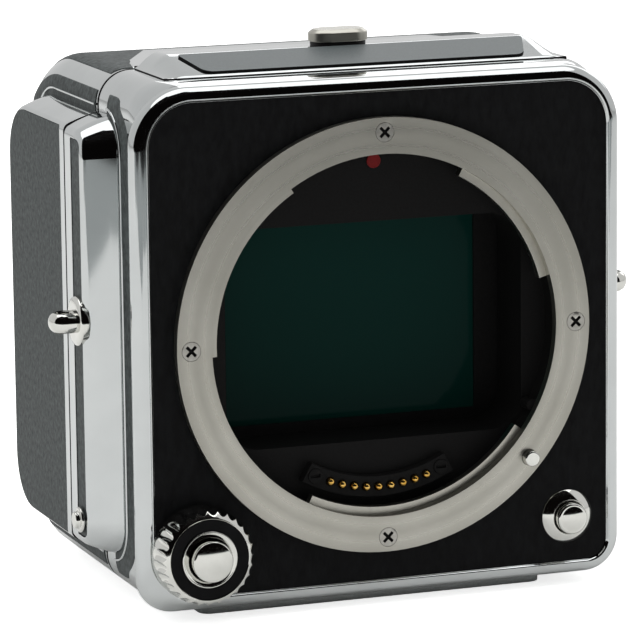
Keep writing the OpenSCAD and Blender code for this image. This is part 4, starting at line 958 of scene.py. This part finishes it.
dress("rear_cover", "rear_panel", 0.6, 4, "digital_back", "rear_black", rear_black)
dress("rear_cover_screws", "panel_screws", 0.08, 2, "digital_back", "steel", screw_steel)
dress("screen_hinge_ears", "screen_ears", 0.3, 3, "digital_back", "black_metal", rear_black)
dress("screen_case", "screen_housing", 0.5, 4, "screen", "rear_black", rear_black)
dress("screen_front", "screen_glass", 0.15, 3, "screen", "screen_glass", screen_glass)
for i in range(1, 6):
    dress(f"rear_key_{i}", f"rear_button_{i}", 0.4, 4, f"button_{i}", "button_rubber", rubber)


# STUDIO
# A white floor in soft white light. In front, past the edge of the lit sheet, lie a grey and then a
# dark stretch, and a dark flag stands beyond. A white canopy hangs above and a white card behind. Only
# the metal sees these, as bands in its reflections. The camera stands where the photograph was taken.

def seen_plainly(material):
    """What the rays are, and whether they are the camera's own, straight or through a clear film."""
    rays = add_node(material, "LightPath")
    plain = add_node(material, "Math", {"operation": "MAXIMUM"},
                     (rays.outputs["Is Camera Ray"], rays.outputs["Is Transmission Ray"]))
    return rays, plain


# Matt white paper, lifted to clean white where the camera looks at it.
floor_white = blank_material("white_floor")
lift = add_node(floor_white, "MapRange", Value=seen_plainly(floor_white)[1], To_Min=0.0, To_Max=0.72)
matt = add_node(floor_white, "BsdfDiffuse", Color=linear("#f4f4f3"))
glow = add_node(floor_white, "Emission", Color=(1, 1, 1, 1), Strength=lift)
both = add_node(floor_white, "AddShader", pair=(matt, glow))
add_node(floor_white, "OutputMaterial", Surface=both)
bpy.ops.mesh.primitive_plane_add(size=24, location=(0, 0, 0))
floor = bpy.context.object
floor.name = "floor"
floor.data.materials.append(floor_white)


def card(piece, colour, level):
    """Makes a piece of the stage a card of one brightness that only reflections see."""
    face = blank_material(piece.name)
    light = add_node(face, "Emission", Color=linear(colour), Strength=level)
    add_node(face, "OutputMaterial", Surface=light)
    piece.data.materials.append(face)
    piece.visible_camera = piece.visible_diffuse = piece.visible_shadow = piece.visible_transmission = False


def sky_card(name, colour, level, reach, turns, lifts, columns, rows):
    """Hangs a card on a dome around the object, between two turns from the back and two lifts in degrees."""
    def spot(column, row):
        turn = math.radians(turns[0] + (turns[1] - turns[0]) * column / columns)
        lift = math.radians(lifts[0] + (lifts[1] - lifts[0]) * row / rows)
        away = reach * math.cos(lift)
        return away * math.sin(turn), away * math.cos(turn), mid_height + reach * math.sin(lift)
    card(shaped_grid(name, columns + 1, rows + 1, spot), colour, level)


mid_height = 45
card_black, card_white, white_level = "#0a0808", "#ffffff", 1.9
sky_card("flag", card_black, 1.0, 1800, (270, 132), (-3, 78), 32, 10)
sky_card("canopy", card_white, white_level, 2600, (0, 360), (54, 90), 48, 12)
sky_card("back_card", card_white, white_level, 2400, (14, 70), (14.5, 34.5), 24, 6)
grey_edge = [(-480, -120), (-417, -227), (-205, -272), (-140, -369), (0, -381), (900, -400), (900, -1000),
             (-900, -1000), (-900, -100)]
dark_edge = [(-700, -120), (-509, -227), (-320, -478), (60, -508), (900, -520), (1500, -1850), (-1700, -1850),
             (-1700, -100)]
for name, edge, height, colour in (("grey_sheet", grey_edge, 0.3, "#b4b8b8"),
                                   ("dark_sheet", dark_edge, 0.6, card_black)):
    card(slab(name, [(x, y, height - 0.2) for x, y in edge], (0, 0, 0.2)), colour, 1.0)

world = bpy.data.worlds.new("studio")
bpy.context.scene.world = world
world.use_nodes = True
world.node_tree.nodes.clear()
rays, plain = seen_plainly(world)
mirrored = add_node(world, "MapRange", Value=rays.outputs["Is Glossy Ray"], To_Min=0.55, To_Max=0.74)
strength = add_node(world, "MapRange", Value=plain, To_Min=mirrored, To_Max=1.0)
sky = add_node(world, "Background", Color=(1, 1, 1, 1), Strength=strength)
add_node(world, "OutputWorld", Surface=sky)

lit_spot = Vector((0, 0.01, mid_height * MM))
for name, spot, size, power in (("top_softbox", (-0.1, 0.05, 1.2), 1.5, 11.5),
                                ("left_softbox", (-1.2, -0.5, 0.8), 0.9, 3.5)):
    lamp = bpy.data.lights.new(name, "AREA")
    lamp.size, lamp.energy = size, power
    holder = bpy.data.objects.new(name, lamp)
    bpy.context.scene.collection.objects.link(holder)
    holder.location = spot
    holder.visible_glossy = False
    holder.rotation_euler = (lit_spot - Vector(spot)).to_track_quat("-Z", "Y").to_euler()

yaw, pitch, roll = (math.radians(a) for a in (20.133, -10.411, -0.647))
ahead = Vector((math.sin(yaw) * math.cos(pitch), math.cos(yaw) * math.cos(pitch), math.sin(pitch)))
right = Vector((math.cos(yaw), -math.sin(yaw), 0))
above = right.cross(ahead)
across = right * math.cos(roll) + above * math.sin(roll)
upward = above * math.cos(roll) - right * math.sin(roll)
lens = bpy.data.cameras.new("photo_lens")
lens.lens, lens.sensor_width, lens.clip_start = 247.5, 36, 0.01
camera = bpy.data.objects.new("photo_camera", lens)
bpy.context.scene.collection.objects.link(camera)
turned_view = Matrix((across, upward, -ahead)).transposed().to_4x4()
camera.matrix_world = Matrix.Translation((-0.2508, -0.6679, 0.1764)) @ turned_view
bpy.context.scene.camera = camera
bpy.context.scene.view_settings.view_transform = "Standard"
